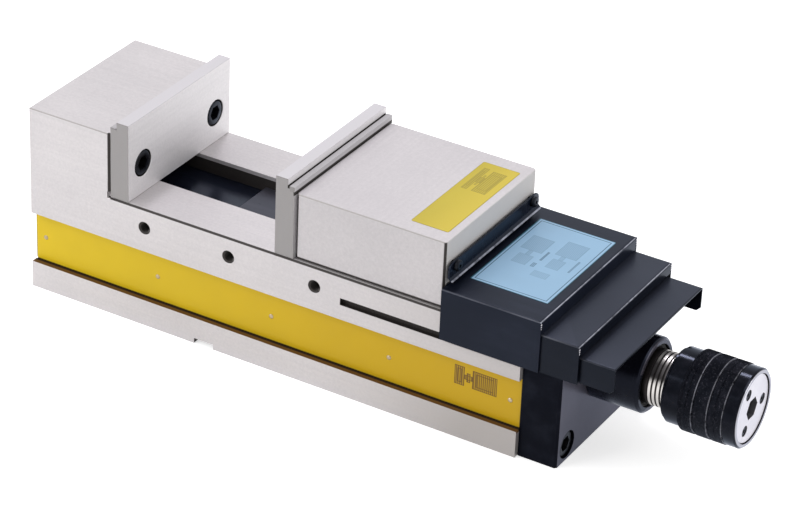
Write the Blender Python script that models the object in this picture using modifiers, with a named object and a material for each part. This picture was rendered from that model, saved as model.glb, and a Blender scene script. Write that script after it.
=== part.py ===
"""Hydraulic machine vise with a pinned range rod, telescoping covers and a spindle-mounted pressure unit.

Axes: +X from the fixed jaw to the handle, +Y away from the side that carries the side plate, +Z up.
Lengths are in metres. Places along X are first measured from the fixed-jaw end of the body, and the
empty named vise then moves everything so that the origin lies under the middle of the whole length.
"""
import math

import bmesh
import bpy
from mathutils import Matrix, Vector

# Fits
GAP = 0.0003
SLIDE_GAP = 0.0004
SHAFT_GAP = 0.0005
HOLE_GAP = 0.0003
CUT_MARGIN = 0.004
ROUND_STEPS = 28
HOLE_STEPS = 12
SCREW_STEPS = 12
SMALL_SCREW_STEPS = 10
SMALL_SCREW_SHANK = 0.0025
SEAL_STEPS = 20
SEAL_SIDES = 6
SCREW_CROWN_PART = 0.12
SCREW_SOCKET_PART = 0.55
SMALL_EDGE = 0.0004

# Body casting
JAW_WIDTH = 0.130
BODY_LENGTH = 0.400
BED_HEIGHT = 0.0948
BED_CHAMFER = 0.0015
FIXED_BLOCK_LENGTH = 0.0687
BLOCK_HEIGHT = 0.1451
BLOCK_CHAMFER = 0.002
FLANGE_HEIGHT = 0.0205
RECESS_TOP = 0.0607
RECESS_DEPTH = 0.0068
LEDGE_RELIEF_DEPTH = 0.0008
WAY_UNDERSIDE = 0.068
TROUGH_WIDTH = 0.050
CAVITY_WIDTH = 0.080
CAVITY_CORNER = 0.008
END_WALL = 0.016
TROUGH_WALL = 0.018
TIE_RIB_PLACE = 0.190
TIE_RIB_LENGTH = 0.014
TIE_RIB_HEIGHT = 0.018
KEYWAY_PLACE = 0.1485
KEYWAY_WIDTH = 0.016
KEYWAY_DEPTH = 0.004
SIDE_HOLE_PLACE = 0.098
SIDE_HOLE_PITCH = 0.0702
SIDE_HOLE_COUNT = 3
SIDE_HOLE_DROP = 0.0153
SIDE_HOLE_RADIUS = 0.0042
SIDE_HOLE_MOUTH = 0.0051
SIDE_HOLE_DEPTH = 0.013
SIDE_GROOVE_START = 0.2593
SIDE_GROOVE_BOTTOM = 0.0720
SIDE_GROOVE_HEIGHT = 0.0055
SIDE_GROOVE_DEPTH = 0.004

# Jaw plates and their screws
PLATE_INSET = 0.001
PLATE_WIDTH = JAW_WIDTH - 2 * PLATE_INSET
PLATE_THICKNESS = 0.0148
PLATE_RISE = 0.0102
PLATE_TOP = BLOCK_HEIGHT + PLATE_RISE
PLATE_LIP_THICKNESS = 0.0096
PLATE_STEP_DROP = 0.0050
PLATE_RELIEF = 0.0010
PLATE_BOLT_SPACING = 0.091
PLATE_BOLT_HEIGHT = 0.1185
PLATE_BORE_DEPTH = 0.0120
M12_SHANK = 0.0060
M12_HEAD = 0.0092
M12_HEAD_HEIGHT = 0.0114
M12_BORE = 0.0102
M12_SOCKET = 0.010
PLATE_BORE_STEPS = 24
JAW_BOLT_REACH = 0.020

# Moving jaw, saddle and shields
JAW_OPENING = 0.1216
MOVING_BLOCK_LENGTH = 0.1174
MOVING_BLOCK_INSET = 0.00285
MOVING_BLOCK_WIDTH = JAW_WIDTH - 2 * MOVING_BLOCK_INSET
SADDLE_LENGTH = 0.042
SADDLE_WING_GAP = 0.002
SADDLE_WING_WIDTH = CAVITY_WIDTH - 2 * SADDLE_WING_GAP
SADDLE_WING_BOTTOM = 0.056
SADDLE_ROD_GAP = 0.0015
SADDLE_LEDGE_LENGTH = 0.014
TONGUE_LENGTH = 0.016
TONGUE_WIDTH = 0.024
TONGUE_THICKNESS = 0.0065
TONGUE_LIFT = 0.0005
SADDLE_BOLT_INSET = 0.007
SADDLE_BOLT_PITCH = 0.014
M8_SHANK = 0.0040
M8_HEAD = 0.0062
M8_HEAD_HEIGHT = 0.0058
M8_BORE = 0.0066
M8_SOCKET = 0.006
M8_REACH = 0.012
SHIELD_THICKNESS = 0.0015
UPPER_SHIELD_REACH = 0.154
UPPER_SHIELD_DROP = 0.0095
LOWER_SHIELD_DROP = 0.0128
LOWER_SHIELD_LENGTH = 0.1560
SHIELD_LEDGE_WIDTH = 0.005

# Range pin and thrust rod
PIN_STANDOFF = 0.0076
PIN_RADIUS = 0.0050
PIN_LENGTH = 0.025
PIN_KNOB_RADIUS = 0.0063
PIN_KNOB_HEIGHT = 0.0040
ROD_RADIUS = 0.0130
ROD_MARGIN = 0.012
RANGE_PITCH = 0.0285
RANGE_HOLES = 5
SPIGOT_RADIUS = 0.0080
SPIGOT_REACH = 0.0084
PIN_EDGE = 0.0008

# Spindle and pressure unit, all on one axis
SPINDLE_HEIGHT = 0.056
SPINDLE_COLLAR_WIDTH = 0.0032
CYLINDER_BORE = 0.0130
CYLINDER_WALL = 0.0035
SPINDLE_NECK_RADIUS = CYLINDER_BORE + CYLINDER_WALL
SCALE_THICKNESS = 0.003
SPINDLE_RADIUS = SPINDLE_NECK_RADIUS + SCALE_THICKNESS
SPINDLE_COLLAR_STEP = 0.002
SPINDLE_COLLAR_RADIUS = SPINDLE_RADIUS + SPINDLE_COLLAR_STEP
CYLINDER_DEPTH = 0.0627
PLUNGER_RADIUS = 0.0042
SEAL_PLACE = 0.0070
SEAL_GROOVE_RADIUS = 0.0065
SEAL_GROOVE_WIDTH = 0.0024
SEAL_WIRE = 0.00085
PISTON_LENGTH = 0.016
PISTON_GROOVE_DEPTH = 0.0022
SCALE_PITCH = 0.0032
SCALE_RINGS = 4
SCALE_GROOVE = 0.0008
SCALE_HIDDEN = 0.003
POWER_STROKE = 0.0105
STROKE_MARGIN = 0.001
THRUST_BLOCK_STANDOFF = 0.0167
THRUST_BLOCK_LENGTH = 0.0192
THRUST_BLOCK_RISE = 0.026
THRUST_BLOCK_BOTTOM = SPINDLE_HEIGHT - THRUST_BLOCK_RISE
THRUST_BLOCK_TOP = SPINDLE_HEIGHT + THRUST_BLOCK_RISE
THRUST_ROD_SEAT = 0.0054
THRUST_WALL = 0.0040
BEARING_RIM = 0.001
BEARING_RADIUS = SPINDLE_COLLAR_RADIUS + BEARING_RIM
BEARING_HOLE = 0.0140
BEARING_WIDTH = 0.0027
SPRING_RADIUS = 0.0106
SPRING_WIRE = 0.0009
SPRING_TURNS = 4
SPRING_STEPS = 10
SPRING_FREE_END = 0.0015

# End block and nut
END_BLOCK_LENGTH = 0.0294
END_BLOCK_INSET = 0.0039
END_BLOCK_WIDTH = JAW_WIDTH - 2 * END_BLOCK_INSET
END_BLOCK_CHAMFER = 0.0015
END_SCREW_INSET = 0.0141
END_SCREW_SPACING = END_BLOCK_WIDTH - 2 * END_SCREW_INSET
END_SCREW_LOW = 0.0121
END_SCREW_HIGH = 0.0800
END_SCREW_BORE_DEPTH = 0.0130
END_SCREW_REACH = 0.022
NUT_WALL = 0.0045
NUT_NECK_RADIUS = SPINDLE_RADIUS + NUT_WALL
NUT_SHOULDER_STEP = 0.003
NUT_RADIUS = NUT_NECK_RADIUS + NUT_SHOULDER_STEP
NUT_LENGTH = 0.0387
NUT_CHAMFER = 0.0018
NUT_MOUTH_STEP = 0.003
NUT_MOUTH_RADIUS = SPINDLE_RADIUS + NUT_MOUTH_STEP
NUT_MOUTH_DEPTH = 0.0060
WIPER_LENGTH = 0.0036
WIPER_LIP_PART = 0.75

# Handle
HANDLE_STANDOFF = 0.0165
HANDLE_LENGTH = 0.0562
HANDLE_REAR_RADIUS = 0.0250
HANDLE_STEP = 0.0012
HANDLE_NECK_RADIUS = 0.0268
HANDLE_NECK_LENGTH = 0.0135
HANDLE_RIM_LENGTH = 0.0093
HANDLE_RIM_RADIUS = 0.0282
KNURL_RADIUS = 0.0280
KNURL_DEPTH = 0.0008
KNURL_BANDS = 3
KNURL_ROWS = 4
KNURL_GROOVE_RADIUS = 0.0272
KNURL_GROOVE_WIDTH = 0.0009
KNURL_STEPS = 40
HANDLE_BORE_DEPTH = 0.029
HANDLE_WEB = 0.0052
HANDLE_CHAMFER = 0.0015
HANDLE_RIM_WALL = 0.0037
CAP_RADIUS = HANDLE_RIM_RADIUS - HANDLE_RIM_WALL
CAP_THICKNESS = 0.0042
CAP_DROP = 0.0011
CAP_SCREW_ANGLES = (118, -2, 238)
CAP_SCREW_SHANK = 0.0020
CAP_SCREW_WALL = 0.002
CAP_SCREW_HEAD = 0.0035
CAP_SCREW_HEAD_HEIGHT = 0.0024
CAP_SCREW_BORE = 0.0040
CAP_SCREW_REACH = 0.008
CAP_SCREW_SINK = 0.0006
SOCKET_RADIUS = 0.0120
CAP_SCREW_CIRCLE = SOCKET_RADIUS + CAP_SCREW_WALL + CAP_SCREW_SHANK
SOCKET_HEX = 0.014
SOCKET_FLOOR = 0.003
SMALL_SOCKET = 0.0025

# Covers, guard and side plate
SHEET = 0.0012
SHEET_BEND = 0.0004
SHEET_BEND_STEPS = 3
COVER_BOTTOM = 0.0747
COVER_BODY_GAP = 0.0007
COVER_NEST_GAP = 0.0004
REAR_COVER_GAP = 0.0018
REAR_COVER_WIDTH = END_BLOCK_WIDTH + 2 * (REAR_COVER_GAP + SHEET)
REAR_COVER_DROP = 0.0012
REAR_COVER_TOP = BED_HEIGHT - REAR_COVER_DROP
REAR_COVER_LENGTH = 0.0684
REAR_COVER_CORNER = 0.003
MIDDLE_COVER_WIDTH = JAW_WIDTH + 2 * (COVER_BODY_GAP + SHEET)
MIDDLE_COVER_RISE = 0.0085
MIDDLE_COVER_TOP = BED_HEIGHT + MIDDLE_COVER_RISE
MIDDLE_COVER_LIP = MIDDLE_COVER_RISE - SLIDE_GAP
MIDDLE_COVER_LENGTH = 0.1022
MIDDLE_COVER_INSET = 0.0016
FRONT_COVER_WIDTH = MIDDLE_COVER_WIDTH + 2 * (COVER_NEST_GAP + SHEET)
FRONT_COVER_RISE = 0.0102
FRONT_COVER_TOP = MIDDLE_COVER_TOP + FRONT_COVER_RISE
FRONT_COVER_LIP = FRONT_COVER_RISE - GAP
FRONT_COVER_LENGTH = 0.0755
COVER_TAB_HEIGHT = 0.0080
COVER_TAB_INSET = 0.00715
COVER_TAB_WIDTH = MOVING_BLOCK_WIDTH - 2 * COVER_TAB_INSET
LIP_SIDE_GAP = 0.0004
COVER_SCREW_SPACING = 0.060
COVER_SCREW_INSET = 0.010
M4_SHANK = 0.0020
M4_HEAD = 0.0038
M4_HEAD_HEIGHT = 0.0010
M4_REACH = 0.011
GUARD_INSET = 0.00065
GUARD_WIDTH = MOVING_BLOCK_WIDTH - 2 * GUARD_INSET
GUARD_RISE = 0.0027
GUARD_BOTTOM = FRONT_COVER_TOP + GUARD_RISE
GUARD_HEIGHT = 0.0128
GUARD_TOP = GUARD_BOTTOM + GUARD_HEIGHT
GUARD_SHEET = 0.0015
GUARD_FLARE = 0.0025
GUARD_CORNER = 0.005
GUARD_SCREW_INSET = 0.009
GUARD_SCREW_SPACING = GUARD_WIDTH - 2 * GUARD_SCREW_INSET
GUARD_SCREW_DROP = 0.004
GUARD_SCREW_HEIGHT = GUARD_TOP - GUARD_SCREW_DROP
M5_SHANK = 0.0022
M5_HEAD = 0.0040
M5_HEAD_HEIGHT = 0.0026
M5_REACH = 0.010
SIDE_PLATE_THICKNESS = 0.0008

# Places along X that follow from the sizes
PLATE_FACE = FIXED_BLOCK_LENGTH + GAP + PLATE_THICKNESS
MOVING_FACE = PLATE_FACE + JAW_OPENING
MOVING_FRONT = MOVING_FACE + PLATE_THICKNESS + GAP
MOVING_REAR = MOVING_FRONT + MOVING_BLOCK_LENGTH
SADDLE_FRONT = MOVING_REAR - SADDLE_LENGTH
PIN_PLACE = MOVING_REAR + PIN_STANDOFF
THRUST_FRONT = MOVING_REAR + THRUST_BLOCK_STANDOFF
THRUST_REAR = THRUST_FRONT + THRUST_BLOCK_LENGTH
ROD_SEAT = THRUST_FRONT + THRUST_ROD_SEAT
BEARING_SEAT = ROD_SEAT + THRUST_WALL
SPINDLE_LEFT = BEARING_SEAT + GAP + BEARING_WIDTH + GAP
SPINDLE_COLLAR_END = SPINDLE_LEFT + SPINDLE_COLLAR_WIDTH
SPIGOT_END = SPINDLE_LEFT + SPIGOT_REACH
PISTON_LEFT = SPIGOT_END + GAP
CYLINDER_END = SPINDLE_LEFT + CYLINDER_DEPTH
END_BLOCK_LEFT = BODY_LENGTH + GAP
END_BLOCK_RIGHT = END_BLOCK_LEFT + END_BLOCK_LENGTH
NUT_SHOULDER = END_BLOCK_RIGHT + GAP
NUT_RIGHT = NUT_SHOULDER + NUT_LENGTH
SCALE_LEFT = NUT_RIGHT - SCALE_HIDDEN
HANDLE_LEFT = NUT_RIGHT + HANDLE_STANDOFF
HANDLE_RIGHT = HANDLE_LEFT + HANDLE_LENGTH
HANDLE_SHOULDER = HANDLE_LEFT + HANDLE_BORE_DEPTH
SPINDLE_RIGHT = HANDLE_SHOULDER - POWER_STROKE - STROKE_MARGIN
KNURL_START = HANDLE_LEFT + HANDLE_NECK_LENGTH
KNURL_END = HANDLE_RIGHT - HANDLE_RIM_LENGTH
CAP_LEFT = HANDLE_RIGHT - CAP_DROP - CAP_THICKNESS
SOCKET_LEFT = HANDLE_SHOULDER + HANDLE_WEB
PLATE_BOTTOM = BED_HEIGHT + GAP
SADDLE_CHANNEL_WIDTH = 2 * (ROD_RADIUS + SADDLE_ROD_GAP)
SADDLE_CHANNEL_TOP = SPINDLE_HEIGHT + ROD_RADIUS + SADDLE_ROD_GAP
OVERALL_LENGTH = HANDLE_RIGHT

X_AXIS = Vector((1, 0, 0))
Y_AXIS = Vector((0, 1, 0))
Z_AXIS = Vector((0, 0, 1))


def clear_scene():
    """Remove the objects that a new file starts with."""
    for item in list(bpy.data.objects):
        bpy.data.objects.remove(item, do_unlink=True)


def new_collection(name):
    collection = bpy.data.collections.new(name)
    bpy.context.scene.collection.children.link(collection)
    return collection


def metal(name, colour, roughness, metallic):
    """A Principled material."""
    finish = bpy.data.materials.new(name)
    finish.use_nodes = True
    shader = finish.node_tree.nodes["Principled BSDF"]
    shader.inputs["Base Color"].default_value = (*colour, 1)
    shader.inputs["Roughness"].default_value = roughness
    shader.inputs["Metallic"].default_value = metallic
    return finish


def add_object(name, mesh, place=Matrix.Identity(4)):
    item = bpy.data.objects.new(name, mesh)
    PARTS.objects.link(item)
    item.matrix_world = place
    return item


def to_cutter(item):
    """Turn an object into a cutting tool that shows as a wire and is left out of the product."""
    PARTS.objects.unlink(item)
    CUTTERS.objects.link(item)
    item.display_type = "WIRE"
    item.hide_render = True
    item.parent = VISE
    return item


def baked(item):
    """Replace an object by a mesh object with its modifiers or curve settings worked out."""
    bpy.context.view_layer.update()
    evaluated = item.evaluated_get(bpy.context.evaluated_depsgraph_get())
    mesh = bpy.data.meshes.new_from_object(evaluated)
    work = bmesh.new()
    work.from_mesh(mesh)
    bmesh.ops.remove_doubles(work, verts=work.verts, dist=1e-6)
    work.to_mesh(mesh)
    work.free()
    name = item.name
    place = item.matrix_world.copy()
    bpy.data.objects.remove(item, do_unlink=True)
    return add_object(name, mesh, place)


def box(name, low, high):
    """A box between two corners, with its origin in its middle."""
    work = bmesh.new()
    bmesh.ops.create_cube(work, size=1)
    size = [b - a for a, b in zip(low, high)]
    bmesh.ops.scale(work, vec=size, verts=work.verts)
    mesh = bpy.data.meshes.new(name)
    work.to_mesh(mesh)
    work.free()
    middle = Vector([(a + b) / 2 for a, b in zip(low, high)])
    return add_object(name, mesh, Matrix.Translation(middle))


def slab(name, outline, along, start, end):
    """A flat outline given a thickness.

    The outline's two values are Y and Z for a slab along X, X and Z for one along Y, and X and Y for one
    along Z.
    """
    curve = bpy.data.curves.new(name, "CURVE")
    curve.dimensions = "2D"
    curve.fill_mode = "BOTH"
    curve.extrude = (end - start) / 2
    spline = curve.splines.new("POLY")
    spline.points.add(len(outline) - 1)
    for point, (first, second) in zip(spline.points, outline):
        point.co = (first, second, 0, 1)
    spline.use_cyclic_u = True
    middle = (start + end) / 2
    columns = {
        "X": (Y_AXIS, Z_AXIS, X_AXIS, X_AXIS * middle),
        "Y": (X_AXIS, Z_AXIS, -Y_AXIS, Y_AXIS * middle),
        "Z": (X_AXIS, Y_AXIS, Z_AXIS, Z_AXIS * middle),
    }[along]
    place = Matrix.Identity(4)
    for index, column in enumerate(columns):
        place.col[index][0:3] = column
    return baked(add_object(name, curve, place))


def turned(name, profile, at, axis=X_AXIS, steps=ROUND_STEPS, ring=False):
    """A turned piece: (place along the axis, radius) pairs, the outer side listed in the axis direction.

    A ring is a closed profile that stays off the axis, with its inner side listed on the way back.
    """
    mesh = bpy.data.meshes.new(name)
    points = [(radius, 0, place) for place, radius in reversed(profile)]
    edges = [(index, index + 1) for index in range(len(points) - 1)]
    if ring:
        edges.append((len(points) - 1, 0))
    mesh.from_pydata(points, edges, [])
    turn = Z_AXIS.rotation_difference(axis).to_matrix().to_4x4()
    item = add_object(name, mesh, Matrix.Translation(at) @ turn)
    screw = item.modifiers.new("Turn", "SCREW")
    screw.axis = "Z"
    screw.steps = steps
    screw.render_steps = steps
    screw.use_smooth_shade = True
    screw.use_merge_vertices = True
    screw.merge_threshold = 1e-5
    return item


def on_spindle(place):
    """The point of the spindle axis at a place along X."""
    return Vector((place, 0, SPINDLE_HEIGHT))


def spindle_piece(name, profile, steps=ROUND_STEPS, ring=False):
    """A turned piece on the spindle axis, its profile given in places along X."""
    start = profile[0][0]
    local = [(place - start, radius) for place, radius in profile]
    return turned(name, local, on_spindle(start), X_AXIS, steps, ring)


def bore(radius, start, depth, axis, steps=HOLE_STEPS, mouth=None):
    """A cutter for a round hole from a face inwards, axis pointing out of the face."""
    profile = [(-depth, 0), (-depth, radius)]
    if mouth:
        profile += [(radius - mouth, radius), (0, mouth), (CUT_MARGIN, mouth)]
    else:
        profile += [(CUT_MARGIN, radius)]
    profile += [(CUT_MARGIN, 0)]
    return to_cutter(turned("hole_cutter", profile, start, axis, steps))


def hexagon(across_flats, at, axis, depth):
    """A cutter for a hexagon socket, axis pointing out of the face."""
    work = bmesh.new()
    radius = across_flats / math.sqrt(3)
    bmesh.ops.create_cone(work, cap_ends=True, segments=6, radius1=radius, radius2=radius,
                          depth=depth + CUT_MARGIN)
    bmesh.ops.translate(work, verts=work.verts, vec=(0, 0, (CUT_MARGIN - depth) / 2))
    mesh = bpy.data.meshes.new("hex_cutter")
    work.to_mesh(mesh)
    work.free()
    turn = Z_AXIS.rotation_difference(axis).to_matrix().to_4x4()
    return to_cutter(add_object("hex_cutter", mesh, Matrix.Translation(at) @ turn))


def combine(target, tool, operation):
    """Add an exact Boolean modifier."""
    modifier = target.modifiers.new(operation.title(), "BOOLEAN")
    modifier.operation = operation
    modifier.solver = "EXACT"
    modifier.object = tool
    return target


def cut(target, *tools):
    for tool in tools:
        combine(target, tool, "DIFFERENCE")
    return target


def join(target, *tools):
    for tool in tools:
        combine(target, to_cutter(tool), "UNION")
    return target


def cut_box(low, high):
    return to_cutter(box("box_cutter", low, high))


def arc(centre, radius, start, end, steps=5):
    """Points of an arc, angles in degrees."""
    angles = [math.radians(start + (end - start) * step / steps) for step in range(steps + 1)]
    return [(centre[0] + radius * math.cos(a), centre[1] + radius * math.sin(a)) for a in angles]


def mirrored(half):
    """A closed outline from its half at positive first values, listed from bottom to top."""
    return half + [(-first, second) for first, second in reversed(half)]


def finish(item, parent, material):
    """Give a piece its material and hang it on the empty of the set that it moves with."""
    item.data.materials.clear()
    item.data.materials.append(material)
    place = item.matrix_world.copy()
    item.parent = parent
    item.matrix_parent_inverse = parent.matrix_world.inverted()
    item.matrix_world = place
    item.data.shade_smooth()
    item.data.set_sharp_from_angle(angle=math.radians(35))
    return item


def socket_screw(name, at, axis, shank, head, head_height, reach, socket, parent, material):
    """A socket head screw: at is the middle of its top face and reach its length under the head."""
    crown = head_height * SCREW_CROWN_PART
    profile = [
        (-head_height - reach, 0),
        (-head_height - reach, shank),
        (-head_height, shank),
        (-head_height, head),
        (-crown, head),
        (0, head - crown),
        (0, 0),
    ]
    steps = SCREW_STEPS if shank > SMALL_SCREW_SHANK else SMALL_SCREW_STEPS
    screw = turned(name, profile, at, axis, steps)
    cut(screw, hexagon(socket, Vector(at), axis, head_height * SCREW_SOCKET_PART))
    return finish(screw, parent, material)


def moving_set(name, parent, at):
    """An empty that carries the pieces of one moving body."""
    empty = bpy.data.objects.new(name, None)
    PARTS.objects.link(empty)
    empty.empty_display_size = 0.02
    empty.location = Vector(at) - (parent.matrix_world.translation if parent else Vector())
    empty.parent = parent
    bpy.context.view_layer.update()
    return empty


def wedge(name, along, corner, leg, turn, start, end):
    """A triangular cutter that chamfers an edge: turn gives the signs of the two outward directions."""
    first, second = corner
    one, two = turn
    reach = leg + CUT_MARGIN
    outline = [
        (first + one * CUT_MARGIN, second + two * CUT_MARGIN),
        (first - one * reach, second + two * CUT_MARGIN),
        (first + one * CUT_MARGIN, second - two * reach),
    ]
    return to_cutter(slab(name, outline, along, start, end))


def build_body():
    """The casting: flange, recessed web, ways, trough, open underside and the solid fixed jaw."""
    half = JAW_WIDTH / 2
    web = half - RECESS_DEPTH
    side_view = [
        (0, 0),
        (BODY_LENGTH, 0),
        (BODY_LENGTH, BED_HEIGHT),
        (FIXED_BLOCK_LENGTH, BED_HEIGHT),
        (FIXED_BLOCK_LENGTH, BLOCK_HEIGHT),
        (0, BLOCK_HEIGHT),
    ]
    body = slab("vise_body", side_view, "Y", -half, half)
    past_end = BODY_LENGTH + CUT_MARGIN
    for side in (-1, 1):
        walls = sorted((side * web, side * (half + CUT_MARGIN)))
        cut(body, cut_box((-CUT_MARGIN, walls[0], FLANGE_HEIGHT), (past_end, walls[1], RECESS_TOP)))
        foot = sorted((side * web, side * (web + GAP + SIDE_PLATE_THICKNESS + GAP)))
        cut(body, cut_box((-CUT_MARGIN, foot[0], FLANGE_HEIGHT - LEDGE_RELIEF_DEPTH),
                          (past_end, foot[1], FLANGE_HEIGHT + LEDGE_RELIEF_DEPTH)))
        cut(body, wedge("bed_chamfer", "X", (side * half, BED_HEIGHT), BED_CHAMFER, (side, 1),
                        FIXED_BLOCK_LENGTH - BLOCK_CHAMFER, past_end))
        cut(body, wedge("block_chamfer", "Z", (FIXED_BLOCK_LENGTH, side * half), BLOCK_CHAMFER, (1, side),
                        BED_HEIGHT - BED_CHAMFER / 2, BLOCK_HEIGHT + CUT_MARGIN))
    hollow(body)
    outer_cuts(body)
    return finish(body, VISE, GROUND_STEEL)


def hollow(body):
    """Cut the cavity under the ways, the trough between them and the ledges of the lower shield."""
    cavity = CAVITY_WIDTH / 2
    trough = TROUGH_WIDTH / 2
    past_end = BODY_LENGTH + CUT_MARGIN
    corner = CAVITY_CORNER
    outline = [(past_end, -cavity), (past_end, cavity)]
    outline += arc((END_WALL + corner, cavity - corner), corner, 90, 180)
    outline += arc((END_WALL + corner, -cavity + corner), corner, 180, 270)
    cavity_tool = slab("cavity_cutter", outline, "Z", -CUT_MARGIN, WAY_UNDERSIDE)
    rib_left = TIE_RIB_PLACE - TIE_RIB_LENGTH / 2
    rib = box("tie_rib", (rib_left, -cavity - CUT_MARGIN, -2 * CUT_MARGIN),
              (rib_left + TIE_RIB_LENGTH, cavity + CUT_MARGIN, TIE_RIB_HEIGHT))
    combine(cavity_tool, to_cutter(rib), "DIFFERENCE")
    cut(body, to_cutter(cavity_tool))
    ledge_top = BED_HEIGHT - LOWER_SHIELD_DROP - SHIELD_THICKNESS - GAP
    ledge_end = TROUGH_WALL + LOWER_SHIELD_LENGTH + GAP
    slot = trough - SHIELD_LEDGE_WIDTH
    lower = WAY_UNDERSIDE - CUT_MARGIN
    trough_side = [
        (TROUGH_WALL, ledge_top),
        (ledge_end, ledge_top),
        (ledge_end, lower),
        (past_end, lower),
        (past_end, BED_HEIGHT + CUT_MARGIN),
        (FIXED_BLOCK_LENGTH + CUT_MARGIN, BED_HEIGHT + CUT_MARGIN),
        (FIXED_BLOCK_LENGTH, BED_HEIGHT),
        (TROUGH_WALL, BED_HEIGHT),
    ]
    cut(body, to_cutter(slab("trough_cutter", trough_side, "Y", -trough, trough)))
    cut(body, cut_box((TROUGH_WALL + CUT_MARGIN, -slot, lower),
                      (ledge_end + CUT_MARGIN, slot, ledge_top + CUT_MARGIN)))


def outer_cuts(body):
    """Cut the keyway, the side holes and grooves and the screw holes of the jaw plate and end block."""
    half = JAW_WIDTH / 2
    key = KEYWAY_WIDTH / 2
    cut(body, cut_box((KEYWAY_PLACE - key, -half - CUT_MARGIN, -CUT_MARGIN),
                      (KEYWAY_PLACE + key, half + CUT_MARGIN, KEYWAY_DEPTH)))
    hole_height = BED_HEIGHT - SIDE_HOLE_DROP
    for side in (-1, 1):
        face = side * half
        for index in range(SIDE_HOLE_COUNT):
            place = (SIDE_HOLE_PLACE + index * SIDE_HOLE_PITCH, face, hole_height)
            cut(body, bore(SIDE_HOLE_RADIUS, place, SIDE_HOLE_DEPTH, Y_AXIS * side, mouth=SIDE_HOLE_MOUTH))
        sides = sorted((face - side * SIDE_GROOVE_DEPTH, face + side * CUT_MARGIN))
        cut(body, cut_box((SIDE_GROOVE_START, sides[0], SIDE_GROOVE_BOTTOM),
                          (BODY_LENGTH + CUT_MARGIN, sides[1], SIDE_GROOVE_BOTTOM + SIDE_GROOVE_HEIGHT)))
        bolt = (FIXED_BLOCK_LENGTH, side * PLATE_BOLT_SPACING / 2, PLATE_BOLT_HEIGHT)
        cut(body, bore(M12_SHANK + HOLE_GAP, bolt, JAW_BOLT_REACH + CUT_MARGIN, X_AXIS))
        for height in (END_SCREW_LOW, END_SCREW_HIGH):
            screw = (BODY_LENGTH, side * END_SCREW_SPACING / 2, height)
            cut(body, bore(M12_SHANK + HOLE_GAP, screw, END_SCREW_REACH, X_AXIS))


def jaw_plate(name, face, side, parent):
    """A ground jaw plate: face is its clamping face and side the direction that the face looks."""
    back = face - side * PLATE_THICKNESS
    lip = face - side * PLATE_LIP_THICKNESS
    relief = lip - side * PLATE_RELIEF
    shelf = PLATE_TOP - PLATE_STEP_DROP
    outline = [
        (back, PLATE_BOTTOM),
        (face, PLATE_BOTTOM),
        (face, PLATE_TOP),
        (lip, PLATE_TOP),
        (lip, shelf - PLATE_RELIEF),
        (relief, shelf - PLATE_RELIEF),
        (relief, shelf),
        (back, shelf),
    ]
    plate = slab(name, outline, "Y", -PLATE_WIDTH / 2, PLATE_WIDTH / 2)
    for hand in (-1, 1):
        at = (face, hand * PLATE_BOLT_SPACING / 2, PLATE_BOLT_HEIGHT)
        cut(plate, bore(M12_BORE, at, PLATE_BORE_DEPTH, X_AXIS * side, PLATE_BORE_STEPS))
        cut(plate, bore(M12_SHANK + HOLE_GAP, at, PLATE_THICKNESS + CUT_MARGIN, X_AXIS * side))
    return finish(plate, parent, GROUND_STEEL)


def jaw_screws(name, face, side, parent):
    """The two cap screws of a jaw plate, seated in its counterbores."""
    top = face - side * (PLATE_BORE_DEPTH - GAP - M12_HEAD_HEIGHT)
    for hand, word in ((-1, "near"), (1, "far")):
        at = (top, hand * PLATE_BOLT_SPACING / 2, PLATE_BOLT_HEIGHT)
        socket_screw(f"{name}_{word}", at, X_AXIS * side, M12_SHANK, M12_HEAD, M12_HEAD_HEIGHT,
                     JAW_BOLT_REACH, M12_SOCKET, parent, BLACK_OXIDE)


def build_fixed_side():
    """The fixed jaw's plate and screws, the lower chip shield and the side plate."""
    jaw_plate("fixed_jaw_plate", PLATE_FACE, 1, VISE)
    jaw_screws("fixed_jaw_screw", PLATE_FACE, 1, VISE)
    side = TROUGH_WIDTH / 2 - SLIDE_GAP
    top = BED_HEIGHT - LOWER_SHIELD_DROP
    shield = box("lower_shield", (TROUGH_WALL + GAP, -side, top - SHIELD_THICKNESS),
                 (TROUGH_WALL + LOWER_SHIELD_LENGTH, side, top))
    finish(shield, VISE, DARK_SHEET)
    inner = -JAW_WIDTH / 2 + RECESS_DEPTH - GAP
    plate = box("side_plate", (GAP, inner - SIDE_PLATE_THICKNESS, FLANGE_HEIGHT + GAP),
                (BODY_LENGTH - GAP, inner, RECESS_TOP - GAP))
    finish(plate, VISE, YELLOW_PLATE)


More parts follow.
